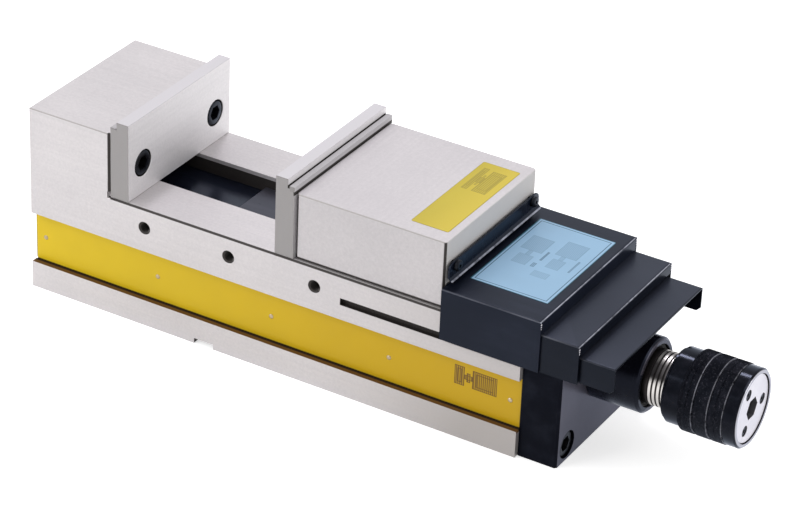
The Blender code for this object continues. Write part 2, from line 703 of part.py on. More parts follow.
def build_end_block():
    """The block on the handle end of the body, its four screws, the nut and the wiper."""
    half = END_BLOCK_WIDTH / 2
    top = REAR_COVER_TOP - SHEET - GAP
    edge = END_BLOCK_CHAMFER
    outline = [
        (END_BLOCK_LEFT, -half),
        (END_BLOCK_RIGHT - edge, -half),
        (END_BLOCK_RIGHT, -half + edge),
        (END_BLOCK_RIGHT, half - edge),
        (END_BLOCK_RIGHT - edge, half),
        (END_BLOCK_LEFT, half),
    ]
    block = slab("end_block", outline, "Z", 0, top)
    cut(block, bore(NUT_NECK_RADIUS + HOLE_GAP, on_spindle(END_BLOCK_RIGHT),
                    END_BLOCK_LENGTH + CUT_MARGIN, X_AXIS, steps=ROUND_STEPS))
    screw_top = END_BLOCK_RIGHT - END_SCREW_BORE_DEPTH + GAP + M12_HEAD_HEIGHT
    number = 0
    for hand in (-1, 1):
        for height in (END_SCREW_LOW, END_SCREW_HIGH):
            number += 1
            at = (END_BLOCK_RIGHT, hand * END_SCREW_SPACING / 2, height)
            cut(block, bore(M12_BORE, at, END_SCREW_BORE_DEPTH, X_AXIS))
            cut(block, bore(M12_SHANK + HOLE_GAP, at, END_BLOCK_LENGTH + CUT_MARGIN, X_AXIS))
            reach = screw_top - M12_HEAD_HEIGHT - BODY_LENGTH + END_SCREW_REACH - GAP
            socket_screw(f"end_block_screw_{number}", (screw_top, at[1], height), X_AXIS, M12_SHANK,
                         M12_HEAD, M12_HEAD_HEIGHT, reach, M12_SOCKET, VISE, BLACK_OXIDE)
        place = (END_BLOCK_LEFT + COVER_SCREW_INSET, hand * COVER_SCREW_SPACING / 2, top)
        cut(block, bore(M4_SHANK + HOLE_GAP, place, M4_REACH, Z_AXIS))
    finish(block, VISE, BLACK_OXIDE)
    build_nut()


def build_nut():
    """The fixed nut that carries the spindle, and the wiper in its mouth."""
    thread = SPINDLE_RADIUS + SHAFT_GAP
    mouth = NUT_RIGHT - NUT_MOUTH_DEPTH
    nut = spindle_piece("spindle_nut", [
        (END_BLOCK_LEFT, NUT_NECK_RADIUS),
        (NUT_SHOULDER, NUT_NECK_RADIUS),
        (NUT_SHOULDER, NUT_RADIUS),
        (NUT_RIGHT - NUT_CHAMFER, NUT_RADIUS),
        (NUT_RIGHT, NUT_RADIUS - NUT_CHAMFER),
        (NUT_RIGHT, NUT_MOUTH_RADIUS),
        (mouth, NUT_MOUTH_RADIUS),
        (mouth, thread),
        (END_BLOCK_LEFT, thread),
    ], ring=True)
    finish(nut, VISE, BLACK_OXIDE)
    outer = NUT_MOUTH_RADIUS - GAP
    inner = SPINDLE_RADIUS + GAP
    left = mouth + GAP
    wiper = spindle_piece("wiper_seal", [
        (left, outer),
        (left + WIPER_LENGTH, outer),
        (left + WIPER_LENGTH * WIPER_LIP_PART, inner),
        (left, inner),
    ], ring=True)
    finish(wiper, VISE, RUBBER)


def build_carriage(carriage):
    """The non-turning block that takes the spindle's thrust, with its bearing and the return spring."""
    shoulder = CAVITY_WIDTH / 2 - SLIDE_GAP
    stem = TROUGH_WIDTH / 2 - SLIDE_GAP
    edge = BLOCK_CHAMFER
    way = WAY_UNDERSIDE - GAP
    section = mirrored([
        (shoulder - edge, THRUST_BLOCK_BOTTOM),
        (shoulder, THRUST_BLOCK_BOTTOM + edge),
        (shoulder, way),
        (stem, way),
        (stem, THRUST_BLOCK_TOP - edge),
        (stem - edge, THRUST_BLOCK_TOP),
    ])
    block = slab("thrust_block", section, "X", THRUST_FRONT, THRUST_REAR)
    passage = spindle_piece("passage_cutter", [
        (THRUST_FRONT - CUT_MARGIN, 0),
        (THRUST_FRONT - CUT_MARGIN, ROD_RADIUS + SLIDE_GAP),
        (ROD_SEAT, ROD_RADIUS + SLIDE_GAP),
        (ROD_SEAT, SPIGOT_RADIUS + SLIDE_GAP),
        (BEARING_SEAT, SPIGOT_RADIUS + SLIDE_GAP),
        (BEARING_SEAT, BEARING_RADIUS),
        (THRUST_REAR + CUT_MARGIN, BEARING_RADIUS),
        (THRUST_REAR + CUT_MARGIN, 0),
    ])
    cut(block, to_cutter(passage))
    finish(block, carriage, CAST_IRON)
    left = BEARING_SEAT + GAP
    outer = BEARING_RADIUS - GAP
    bearing = spindle_piece("thrust_bearing", [
        (left, outer),
        (left + BEARING_WIDTH, outer),
        (left + BEARING_WIDTH, BEARING_HOLE),
        (left, BEARING_HOLE),
    ], ring=True)
    finish(bearing, carriage, BRIGHT_STEEL)
    start = SPINDLE_COLLAR_END + GAP
    end = THRUST_REAR - GAP
    inner = SPINDLE_RADIUS + GAP
    retainer = spindle_piece("bearing_retainer", [
        (start, outer),
        (end, outer),
        (end, inner),
        (start, inner),
    ], ring=True)
    finish(retainer, carriage, BRIGHT_STEEL)
    finish(return_spring(), carriage, BRIGHT_STEEL)


def return_spring():
    """The coil spring that draws the thrust rod back."""
    start = BEARING_SEAT + GAP + SPRING_WIRE
    end = PISTON_LEFT - SPRING_FREE_END - SPRING_WIRE
    curve = bpy.data.curves.new("return_spring", "CURVE")
    curve.dimensions = "3D"
    curve.bevel_depth = SPRING_WIRE
    curve.bevel_resolution = 1
    curve.use_fill_caps = True
    spline = curve.splines.new("POLY")
    count = SPRING_TURNS * SPRING_STEPS
    spline.points.add(count)
    for index, point in enumerate(spline.points):
        angle = math.tau * index / SPRING_STEPS
        place = start + (end - start) * index / count - start
        point.co = (place, SPRING_RADIUS * math.cos(angle), SPRING_RADIUS * math.sin(angle), 1)
    return baked(add_object("return_spring", curve, Matrix.Translation(on_spindle(start))))


def build_rod(rod_set):
    """The thrust rod with its row of range holes, and the power piston with its seal."""
    left = PIN_PLACE - (RANGE_HOLES - 1) * RANGE_PITCH - ROD_MARGIN
    edge = BLOCK_CHAMFER
    shoulder = ROD_SEAT - GAP
    rod = spindle_piece("thrust_rod", [
        (left, 0),
        (left, ROD_RADIUS - edge),
        (left + edge, ROD_RADIUS),
        (shoulder, ROD_RADIUS),
        (shoulder, SPIGOT_RADIUS),
        (SPIGOT_END, SPIGOT_RADIUS),
        (SPIGOT_END, 0),
    ])
    for index in range(RANGE_HOLES):
        top = (PIN_PLACE - index * RANGE_PITCH, 0, SPINDLE_HEIGHT + ROD_RADIUS)
        cut(rod, bore(PIN_RADIUS + HOLE_GAP, top, 2 * ROD_RADIUS + CUT_MARGIN, Z_AXIS))
    finish(rod, rod_set, BRIGHT_STEEL)
    outer = CYLINDER_BORE - SLIDE_GAP
    groove = outer - PISTON_GROOVE_DEPTH
    middle = PISTON_LEFT + PISTON_LENGTH / 2
    half = SEAL_GROOVE_WIDTH / 2
    piston = spindle_piece("power_piston", [
        (PISTON_LEFT, 0),
        (PISTON_LEFT, outer),
        (middle - half, outer),
        (middle - half, groove),
        (middle + half, groove),
        (middle + half, outer),
        (PISTON_LEFT + PISTON_LENGTH, outer),
        (PISTON_LEFT + PISTON_LENGTH, 0),
    ])
    finish(piston, rod_set, BRIGHT_STEEL)
    ring_seal("piston_seal", middle, groove + GAP + SEAL_WIRE, rod_set)


def ring_seal(name, place, radius, parent):
    """A rubber ring of round section on the spindle axis."""
    profile = []
    for index in range(SEAL_SIDES):
        angle = math.tau * index / SEAL_SIDES
        profile.append((place - SEAL_WIRE * math.cos(angle), radius + SEAL_WIRE * math.sin(angle)))
    finish(spindle_piece(name, profile, steps=SEAL_STEPS, ring=True), parent, RUBBER)


def build_spindle(spindle):
    """The turning spindle: oil cylinder inside, the ringed pressure scale on its neck."""
    seal_place = CYLINDER_END + SEAL_PLACE
    half = SEAL_GROOVE_WIDTH / 2
    passage = PLUNGER_RADIUS + GAP
    tube = spindle_piece("spindle_cylinder", [
        (SPINDLE_LEFT, SPINDLE_COLLAR_RADIUS),
        (SPINDLE_COLLAR_END, SPINDLE_COLLAR_RADIUS),
        (SPINDLE_COLLAR_END, SPINDLE_RADIUS),
        (SCALE_LEFT, SPINDLE_RADIUS),
        (SCALE_LEFT, SPINDLE_NECK_RADIUS),
        (SPINDLE_RIGHT, SPINDLE_NECK_RADIUS),
        (SPINDLE_RIGHT, passage),
        (seal_place + half, passage),
        (seal_place + half, SEAL_GROOVE_RADIUS),
        (seal_place - half, SEAL_GROOVE_RADIUS),
        (seal_place - half, passage),
        (CYLINDER_END, passage),
        (CYLINDER_END, CYLINDER_BORE),
        (SPINDLE_LEFT, CYLINDER_BORE),
    ], ring=True)
    finish(tube, spindle, BRIGHT_STEEL)
    left = SCALE_LEFT + GAP
    inner = SPINDLE_NECK_RADIUS + GAP
    outline = [(left, SPINDLE_RADIUS)]
    for index in range(SCALE_RINGS):
        groove = NUT_RIGHT + SCALE_PITCH * (index + 1)
        outline += [
            (groove - SCALE_GROOVE / 2, SPINDLE_RADIUS),
            (groove - SCALE_GROOVE / 2, SPINDLE_RADIUS - SCALE_GROOVE),
            (groove + SCALE_GROOVE / 2, SPINDLE_RADIUS - SCALE_GROOVE),
            (groove + SCALE_GROOVE / 2, SPINDLE_RADIUS),
        ]
    outline += [(SPINDLE_RIGHT, SPINDLE_RADIUS), (SPINDLE_RIGHT, inner), (left, inner)]
    finish(spindle_piece("pressure_scale", outline, ring=True), spindle, BRIGHT_STEEL)
    ring_seal("plunger_seal", seal_place, SEAL_GROOVE_RADIUS - GAP - SEAL_WIRE, spindle)


def knurl_places():
    """Places along X of the rows of points in each knurled band."""
    span = KNURL_END - KNURL_START
    band = (span - KNURL_BANDS * KNURL_GROOVE_WIDTH) / KNURL_BANDS
    bands = []
    for index in range(KNURL_BANDS):
        start = KNURL_START + index * (band + KNURL_GROOVE_WIDTH)
        bands.append([start + band * row / KNURL_ROWS for row in range(KNURL_ROWS + 1)])
    return bands


def build_handle(handle_set):
    """The handle with its knurled bands, the cap with three screws, the drive socket and the plunger."""
    bands = knurl_places()
    recess = CAP_LEFT - GAP
    profile = [
        (HANDLE_LEFT, HANDLE_REAR_RADIUS),
        (HANDLE_LEFT + HANDLE_STEP, HANDLE_REAR_RADIUS),
        (HANDLE_LEFT + 2 * HANDLE_STEP, HANDLE_NECK_RADIUS),
        (KNURL_START, HANDLE_NECK_RADIUS),
    ]
    for rows in bands:
        profile += [(place, KNURL_RADIUS) for place in rows]
        profile += [(rows[-1], KNURL_GROOVE_RADIUS), (rows[-1] + KNURL_GROOVE_WIDTH, KNURL_GROOVE_RADIUS)]
    profile += [
        (KNURL_END, HANDLE_RIM_RADIUS),
        (HANDLE_RIGHT - HANDLE_CHAMFER, HANDLE_RIM_RADIUS),
        (HANDLE_RIGHT, HANDLE_RIM_RADIUS - HANDLE_CHAMFER),
        (HANDLE_RIGHT, CAP_RADIUS + GAP),
        (recess, CAP_RADIUS + GAP),
        (recess, SOCKET_RADIUS + GAP),
        (SOCKET_LEFT, SOCKET_RADIUS + GAP),
        (SOCKET_LEFT, PLUNGER_RADIUS - GAP),
        (HANDLE_SHOULDER, PLUNGER_RADIUS - GAP),
        (HANDLE_SHOULDER, SPINDLE_RADIUS + SHAFT_GAP),
        (HANDLE_LEFT, SPINDLE_RADIUS + SHAFT_GAP),
    ]
    handle = baked(spindle_piece("handle", profile, KNURL_STEPS, ring=True))
    raise_knurl(handle, bands)
    cap_holes = []
    for angle in CAP_SCREW_ANGLES:
        y, z = arc((0, SPINDLE_HEIGHT), CAP_SCREW_CIRCLE, angle, angle, 1)[0]
        cap_holes.append((y, z))
        cut(handle, bore(CAP_SCREW_SHANK + HOLE_GAP, (recess, y, z), CAP_SCREW_REACH, X_AXIS,
                         SMALL_SCREW_STEPS))
    finish(handle, handle_set, BLACK_OXIDE)
    build_cap(handle_set, cap_holes)


def raise_knurl(handle, bands):
    """Lift every second point of the knurled rows, which leaves a field of diamond points."""
    place = handle.matrix_world.translation.x
    rows = [(row, index) for band in bands for index, row in enumerate(band) if 0 < index < KNURL_ROWS]
    for vertex in handle.data.vertices:
        radius = math.hypot(vertex.co.x, vertex.co.y)
        if abs(radius - KNURL_RADIUS) > 1e-5:
            continue
        angle = math.atan2(vertex.co.y, vertex.co.x)
        step = round(angle / math.tau * KNURL_STEPS)
        for row, index in rows:
            if abs(place + vertex.co.z - row) < 1e-5 and (step + index) % 2:
                grow = (radius + KNURL_DEPTH) / radius
                vertex.co.x *= grow
                vertex.co.y *= grow


def build_cap(handle_set, cap_holes):
    """The pieces in the handle's front face, and the plunger behind it."""
    right = CAP_LEFT + CAP_THICKNESS
    edge = SMALL_EDGE
    cap = spindle_piece("handle_cap", [
        (CAP_LEFT, 0),
        (CAP_LEFT, CAP_RADIUS),
        (right - edge, CAP_RADIUS),
        (right, CAP_RADIUS - edge),
        (right, 0),
    ])
    cut(cap, hexagon(SOCKET_HEX + 2 * GAP, on_spindle(right), X_AXIS, CAP_THICKNESS + CUT_MARGIN))
    screw_top = right - CAP_SCREW_SINK
    pocket = CAP_SCREW_HEAD_HEIGHT + GAP + CAP_SCREW_SINK
    for number, (y, z) in enumerate(cap_holes, start=1):
        face = (right, y, z)
        cut(cap, bore(CAP_SCREW_BORE, face, pocket, X_AXIS, SMALL_SCREW_STEPS))
        cut(cap, bore(CAP_SCREW_SHANK + HOLE_GAP, face, CAP_THICKNESS + CUT_MARGIN, X_AXIS,
                      SMALL_SCREW_STEPS))
        socket_screw(f"handle_screw_{number}", (screw_top, y, z), X_AXIS, CAP_SCREW_SHANK, CAP_SCREW_HEAD,
                     CAP_SCREW_HEAD_HEIGHT, CAP_SCREW_REACH, SMALL_SOCKET, handle_set, BLACK_OXIDE)
    finish(cap, handle_set, BLACK_OXIDE)
    end = CAP_LEFT - GAP
    start = SOCKET_LEFT + GAP
    outline = [(start, 0), (start, SOCKET_RADIUS), (end, SOCKET_RADIUS), (end, 0)]
    socket = spindle_piece("drive_socket", outline)
    depth = end - start - SOCKET_FLOOR
    cut(socket, hexagon(SOCKET_HEX, on_spindle(end), X_AXIS, depth))
    finish(socket, handle_set, BRASS)
    tip = CYLINDER_END - PLUNGER_RADIUS
    neck = PLUNGER_RADIUS - 2 * GAP
    plunger = spindle_piece("plunger", [
        (tip, 0),
        (tip, PLUNGER_RADIUS - edge),
        (tip + edge, PLUNGER_RADIUS),
        (HANDLE_SHOULDER - GAP, PLUNGER_RADIUS),
        (HANDLE_SHOULDER - GAP, neck),
        (SOCKET_LEFT, neck),
        (SOCKET_LEFT, 0),
    ], steps=ROUND_STEPS // 2)
    finish(plunger, handle_set, BRIGHT_STEEL)


def build_moving_jaw(jaw):
    """The moving jaw block with its plate, screws and the saddle bolts' holes."""
    half = MOVING_BLOCK_WIDTH / 2
    edge = BLOCK_CHAMFER
    outline = [
        (MOVING_FRONT + edge, -half),
        (MOVING_REAR - edge, -half),
        (MOVING_REAR, -half + edge),
        (MOVING_REAR, half - edge),
        (MOVING_REAR - edge, half),
        (MOVING_FRONT + edge, half),
        (MOVING_FRONT, half - edge),
        (MOVING_FRONT, -half + edge),
    ]
    block = slab("moving_jaw", outline, "Z", PLATE_BOTTOM, BLOCK_HEIGHT)
    for hand in (-1, 1):
        bolt = (MOVING_FRONT, hand * PLATE_BOLT_SPACING / 2, PLATE_BOLT_HEIGHT)
        cut(block, bore(M12_SHANK + HOLE_GAP, bolt, JAW_BOLT_REACH + CUT_MARGIN, -X_AXIS))
        guard = (MOVING_REAR, hand * GUARD_SCREW_SPACING / 2, GUARD_SCREW_HEIGHT)
        cut(block, bore(M5_SHANK + HOLE_GAP, guard, M5_REACH, X_AXIS))
    for place in saddle_bolt_places():
        cut(block, bore(M8_SHANK + HOLE_GAP, (place, 0, PLATE_BOTTOM), M8_REACH + GAP, -Z_AXIS))
    finish(block, jaw, GROUND_STEEL)
    jaw_plate("moving_jaw_plate", MOVING_FACE, -1, jaw)
    jaw_screws("moving_jaw_screw", MOVING_FACE, -1, jaw)


def saddle_bolt_places():
    last = MOVING_REAR - SADDLE_BOLT_INSET
    return (last - SADDLE_BOLT_PITCH, last)


def build_saddle(jaw):
    """The saddle under the jaw that hooks the ways and straddles the rod, its bolts and the shield."""
    wing = SADDLE_WING_WIDTH / 2
    stem = TROUGH_WIDTH / 2 - GAP
    channel = SADDLE_CHANNEL_WIDTH / 2
    edge = BLOCK_CHAMFER
    way = WAY_UNDERSIDE - GAP
    half = [
        (channel, SADDLE_WING_BOTTOM),
        (wing - edge, SADDLE_WING_BOTTOM),
        (wing, SADDLE_WING_BOTTOM + edge),
        (wing, way),
        (stem, way),
        (stem, BED_HEIGHT),
    ]
    section = mirrored(half)
    section += [
        (-channel, SADDLE_CHANNEL_TOP - edge),
        (-channel + edge, SADDLE_CHANNEL_TOP),
        (channel - edge, SADDLE_CHANNEL_TOP),
        (channel, SADDLE_CHANNEL_TOP - edge),
    ]
    saddle = slab("jaw_saddle", section, "X", SADDLE_FRONT, MOVING_REAR)
    radius = TONGUE_WIDTH / 2
    end = MOVING_REAR + TONGUE_LENGTH
    corner = radius / 2
    tongue = [(MOVING_REAR - 2 * CUT_MARGIN, -radius)]
    tongue += arc((end - corner, -radius + corner), corner, -90, 0)
    tongue += arc((end - corner, radius - corner), corner, 0, 90)
    tongue += [(MOVING_REAR - 2 * CUT_MARGIN, radius)]
    underside = SADDLE_CHANNEL_TOP + TONGUE_LIFT
    top = underside + TONGUE_THICKNESS
    join(saddle, slab("tongue", tongue, "Z", underside, top))
    cut(saddle, bore(PIN_RADIUS + HOLE_GAP, (PIN_PLACE, 0, top), TONGUE_THICKNESS + CUT_MARGIN, Z_AXIS))
    shield_top = BED_HEIGHT - UPPER_SHIELD_DROP
    ledge = shield_top - SHIELD_THICKNESS - GAP
    ledge_end = SADDLE_FRONT + SADDLE_LEDGE_LENGTH
    cut(saddle, cut_box((SADDLE_FRONT - CUT_MARGIN, -stem - CUT_MARGIN, ledge),
                        (ledge_end, stem + CUT_MARGIN, BED_HEIGHT + CUT_MARGIN)))
    depth = M8_HEAD_HEIGHT + GAP
    reach = BED_HEIGHT - SADDLE_CHANNEL_TOP - depth + M8_REACH
    for place, word in zip(saddle_bolt_places(), ("front", "rear")):
        mouth = (place, 0, SADDLE_CHANNEL_TOP)
        cut(saddle, bore(M8_BORE, mouth, depth, -Z_AXIS))
        cut(saddle, bore(M8_SHANK + HOLE_GAP, mouth, BED_HEIGHT, -Z_AXIS))
        at = (place, 0, SADDLE_CHANNEL_TOP)
        socket_screw(f"saddle_bolt_{word}", at, -Z_AXIS, M8_SHANK, M8_HEAD, M8_HEAD_HEIGHT, reach,
                     M8_SOCKET, jaw, BLACK_OXIDE)
    finish(saddle, jaw, CAST_IRON)
    side = TROUGH_WIDTH / 2 - SLIDE_GAP
    end = ledge_end - GAP
    shield = box("upper_shield", (end - UPPER_SHIELD_REACH - SADDLE_LEDGE_LENGTH, -side, ledge + GAP),
                 (end, side, shield_top))
    finish(shield, jaw, DARK_SHEET)


def cover_section(half, top):
    """The outline of a folded sheet across the vise: the outer line over the top, then the inner line."""
    outer = SHEET_BEND + SHEET
    centre = (half - outer, top - outer)
    outside = [(half, COVER_BOTTOM)] + arc(centre, outer, 0, 90, SHEET_BEND_STEPS)
    inside = [(half - SHEET, COVER_BOTTOM)] + arc(centre, SHEET_BEND, 0, 90, SHEET_BEND_STEPS)
    return mirrored(outside) + list(reversed(mirrored(inside)))


def fold_lip(cover, right, half, top, lip):
    """Fold the top of a cover down at its right end, between the legs."""
    outer = SHEET_BEND + SHEET
    centre = (right - outer, top - outer)
    slot = half - SHEET
    side = slot - LIP_SIDE_GAP
    cut(cover, cut_box((centre[0], -slot, centre[1] - CUT_MARGIN),
                       (right + CUT_MARGIN, slot, top + CUT_MARGIN)))
    root = centre[0] - SHEET
    profile = [(root, top - SHEET), (root, top)] + arc(centre, outer, 90, 0, SHEET_BEND_STEPS)
    profile += [(right, top - lip), (right - SHEET, top - lip)]
    profile += arc(centre, SHEET_BEND, 0, 90, SHEET_BEND_STEPS)
    join(cover, slab("lip", profile, "Y", -side, side))


def fold_tab(cover, left, top):
    """Fold a tab of a cover up at its left end, against the moving jaw."""
    outer = SHEET_BEND + SHEET
    centre = (left + SHEET_BEND, top + SHEET_BEND)
    side = COVER_TAB_WIDTH / 2
    slot = side + LIP_SIDE_GAP
    cut(cover, cut_box((left - CUT_MARGIN, -slot, top - CUT_MARGIN), (centre[0], slot, top + CUT_MARGIN)))
    root = centre[0] + SHEET
    profile = [(root, top), (root, top - SHEET)] + arc(centre, outer, 270, 180, SHEET_BEND_STEPS)
    profile += [(left - SHEET, top + COVER_TAB_HEIGHT), (left, top + COVER_TAB_HEIGHT)]
    profile += arc(centre, SHEET_BEND, 180, 270, SHEET_BEND_STEPS)
    join(cover, slab("tab", profile, "Y", -side, side))


def sheet_cover(name, left, right, width, top):
    """A folded sheet cover with a top and two legs."""
    return slab(name, cover_section(width / 2, top), "X", left, right)


def build_covers(jaw, middle):
    """The three telescoping covers, the guard strip on the jaw and their screws."""
    front_left = MOVING_REAR + GAP + SHEET
    front_right = front_left + FRONT_COVER_LENGTH
    front = sheet_cover("cover_front", front_left, front_right, FRONT_COVER_WIDTH, FRONT_COVER_TOP)
    fold_lip(front, front_right, FRONT_COVER_WIDTH / 2, FRONT_COVER_TOP, FRONT_COVER_LIP)
    fold_tab(front, front_left, FRONT_COVER_TOP)
    finish(front, jaw, DARK_SHEET)
    middle_left = front_left + MIDDLE_COVER_INSET
    middle_right = middle_left + MIDDLE_COVER_LENGTH
    inner = sheet_cover("cover_middle", middle_left, middle_right, MIDDLE_COVER_WIDTH, MIDDLE_COVER_TOP)
    fold_lip(inner, middle_right, MIDDLE_COVER_WIDTH / 2, MIDDLE_COVER_TOP, MIDDLE_COVER_LIP)
    finish(inner, middle, DARK_SHEET)
    rear_left = END_BLOCK_LEFT + GAP
    rear_right = rear_left + REAR_COVER_LENGTH
    rear = sheet_cover("cover_rear", rear_left, rear_right, REAR_COVER_WIDTH, REAR_COVER_TOP)
    half = REAR_COVER_WIDTH / 2
    cut(rear, wedge("corner_chamfer", "Y", (rear_right, COVER_BOTTOM), REAR_COVER_CORNER, (1, -1),
                    -half - CUT_MARGIN, half + CUT_MARGIN))
    for hand, word in ((-1, "near"), (1, "far")):
        place = (END_BLOCK_LEFT + COVER_SCREW_INSET, hand * COVER_SCREW_SPACING / 2, REAR_COVER_TOP)
        cut(rear, bore(M4_SHANK + HOLE_GAP, place, SHEET + CUT_MARGIN, Z_AXIS))
        at = (place[0], place[1], REAR_COVER_TOP + GAP + M4_HEAD_HEIGHT)
        socket_screw(f"cover_screw_{word}", at, Z_AXIS, M4_SHANK, M4_HEAD, M4_HEAD_HEIGHT, M4_REACH,
                     SMALL_SOCKET, VISE, BLACK_OXIDE)
    finish(rear, VISE, DARK_SHEET)
    build_guard(jaw)


def build_guard(jaw):
    """The bent strip that seals the joint between the moving jaw and its cover."""
    left = MOVING_REAR + GAP + SHEET + GAP
    face = left + GUARD_SHEET
    half = GUARD_WIDTH / 2
    flare_top = GUARD_BOTTOM + GUARD_FLARE
    work = bmesh.new()
    column = [(0, GUARD_TOP), (0, flare_top), (GUARD_FLARE, GUARD_BOTTOM)]
    verts = [work.verts.new((x, -half, z)) for x, z in column]
    edges = [work.edges.new(pair) for pair in zip(verts[:-1], verts[1:])]
    sweep = bmesh.ops.extrude_edge_only(work, edges=edges)["geom"]
    moved = [item for item in sweep if isinstance(item, bmesh.types.BMVert)]
    bmesh.ops.translate(work, verts=moved, vec=(0, 2 * half, 0))
    corners = [vert for vert in work.verts if vert.co.z > GUARD_TOP - 1e-6]
    bmesh.ops.bevel(work, geom=corners, offset=GUARD_CORNER, segments=4, affect="VERTICES",
                    profile=0.5)
    bmesh.ops.recalc_face_normals(work, faces=work.faces)
    if sum(face.normal.x for face in work.faces) < 0:
        bmesh.ops.reverse_faces(work, faces=work.faces)
    mesh = bpy.data.meshes.new("chip_guard")
    work.to_mesh(mesh)
    work.free()
    guard = add_object("chip_guard", mesh, Matrix.Translation((face, 0, 0)))
    shell = guard.modifiers.new("Sheet", "SOLIDIFY")
    shell.thickness = GUARD_SHEET
    shell.offset = -1
    shell.use_even_offset = True
    for hand, word in ((-1, "near"), (1, "far")):
        y = hand * GUARD_SCREW_SPACING / 2
        cut(guard, bore(M5_SHANK + HOLE_GAP, (face, y, GUARD_SCREW_HEIGHT), GUARD_SHEET + CUT_MARGIN, X_AXIS))
        at = (face + GAP + M5_HEAD_HEIGHT, y, GUARD_SCREW_HEIGHT)
        socket_screw(f"guard_screw_{word}", at, X_AXIS, M5_SHANK, M5_HEAD, M5_HEAD_HEIGHT, M5_REACH,
                     SMALL_SOCKET, jaw, BLACK_OXIDE)
    finish(guard, jaw, DARK_SHEET)


def build_range_pin(pin_set):
    """The pin that locks the saddle to one of the rod's holes, shown drawn up."""
    tip = SPINDLE_HEIGHT + ROD_RADIUS + GAP
    edge = PIN_EDGE
    shank = PIN_LENGTH
    top = shank + PIN_KNOB_HEIGHT
    profile = [
        (0, 0),
        (0, PIN_RADIUS - edge),
        (edge, PIN_RADIUS),
        (shank, PIN_RADIUS),
        (shank, PIN_KNOB_RADIUS),
        (top - edge, PIN_KNOB_RADIUS),
        (top, PIN_KNOB_RADIUS - edge),
        (top, 0),
    ]
    pin = turned("range_pin", profile, (PIN_PLACE, 0, tip), Z_AXIS, ROUND_STEPS // 2)
    finish(pin, pin_set, BRIGHT_STEEL)


clear_scene()
PARTS = new_collection("hydraulic_machine_vise")
CUTTERS = new_collection("cutters")
VISE = moving_set("vise", None, (0, 0, 0))

GROUND_STEEL = metal("ground_steel", (0.78, 0.76, 0.74), 0.30, 1.0)
CAST_IRON = metal("cast_iron", (0.30, 0.30, 0.31), 0.55, 1.0)
BRIGHT_STEEL = metal("bright_steel", (0.80, 0.79, 0.77), 0.18, 1.0)
BLACK_OXIDE = metal("black_oxide", (0.030, 0.032, 0.042), 0.35, 0.6)
DARK_SHEET = metal("dark_sheet", (0.045, 0.050, 0.070), 0.32, 0.2)
YELLOW_PLATE = metal("yellow_plate", (0.80, 0.58, 0.04), 0.40, 0.0)
RUBBER = metal("rubber", (0.02, 0.02, 0.02), 0.75, 0.0)
BRASS = metal("brass", (0.62, 0.47, 0.24), 0.28, 1.0)

FEED_CARRIAGE = moving_set("feed_carriage", VISE, on_spindle(THRUST_FRONT))
SPINDLE = moving_set("spindle", FEED_CARRIAGE, on_spindle(SPINDLE_LEFT))
HANDLE_SET = moving_set("handle_set", SPINDLE, on_spindle(HANDLE_LEFT))
ROD_SET = moving_set("rod_set", FEED_CARRIAGE, on_spindle(ROD_SEAT))
JAW_SET = moving_set("jaw_set", ROD_SET, (MOVING_FACE, 0, PLATE_BOTTOM))
MIDDLE_COVER_SET = moving_set("middle_cover_set", JAW_SET, (MOVING_REAR, 0, MIDDLE_COVER_TOP))
PIN_SET = moving_set("pin_set", JAW_SET, (PIN_PLACE, 0, SPINDLE_HEIGHT + ROD_RADIUS))

build_body()
build_fixed_side()
build_end_block()
build_carriage(FEED_CARRIAGE)
build_rod(ROD_SET)
build_spindle(SPINDLE)
build_handle(HANDLE_SET)
build_moving_jaw(JAW_SET)
build_saddle(JAW_SET)
build_covers(JAW_SET, MIDDLE_COVER_SET)
build_range_pin(PIN_SET)
VISE.location.x = -OVERALL_LENGTH / 2
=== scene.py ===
"""Looks of a hydraulic machine vise: ground casting and jaws, sheet covers, spindle unit and knurled handle.

Lengths are in metres. Places along X are given from the fixed-jaw end of the body, as on a drawing, and
the function at() turns them into the frame's X, whose origin lies under the middle of the whole length.
"""
import logging
import math
from dataclasses import dataclass, field
from enum import Enum
from functools import reduce
from typing import Any, Iterable, Optional, Sequence, Union

import bmesh
import bpy
from mathutils import Matrix, Vector


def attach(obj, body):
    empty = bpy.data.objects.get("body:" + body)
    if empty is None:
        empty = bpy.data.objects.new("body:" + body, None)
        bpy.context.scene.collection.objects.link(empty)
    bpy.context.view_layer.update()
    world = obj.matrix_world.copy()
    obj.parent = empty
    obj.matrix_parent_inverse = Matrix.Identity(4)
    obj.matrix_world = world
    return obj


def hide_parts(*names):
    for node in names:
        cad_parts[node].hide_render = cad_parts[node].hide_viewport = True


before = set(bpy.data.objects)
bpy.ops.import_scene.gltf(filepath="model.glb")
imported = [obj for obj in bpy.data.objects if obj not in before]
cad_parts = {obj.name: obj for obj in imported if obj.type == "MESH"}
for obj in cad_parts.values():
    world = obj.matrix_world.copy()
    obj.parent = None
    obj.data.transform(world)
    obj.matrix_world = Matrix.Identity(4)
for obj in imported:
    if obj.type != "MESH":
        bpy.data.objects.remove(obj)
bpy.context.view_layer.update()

LOG = logging.getLogger("vise")
HALF_LENGTH = 0.2707
AXIS_HEIGHT = 0.056
AXIS = (0.0, 0.0, AXIS_HEIGHT)
SPARE = 0.004  # how far a tool stands out of the stock that it cuts
SHARP = math.radians(35)
M12_HOLE, M12_SINK = 0.0063, 0.0102  # radii of a clearance hole and of a cap screw's recess
JAW_SCREW = (0.0455, 0.1185)  # Y and Z, as for the next two
GUARD_SCREW = (0.0525, 0.125)
SIDE_HOLES = (0.098, 0.1682, 0.2384)  # X
END_SCREW_ACROSS, END_SCREW_HEIGHTS = 0.047, (0.0121, 0.0800)
COVER_SCREW = (0.4103, 0.030)  # X and Y
PIN_PLACE = 0.3455
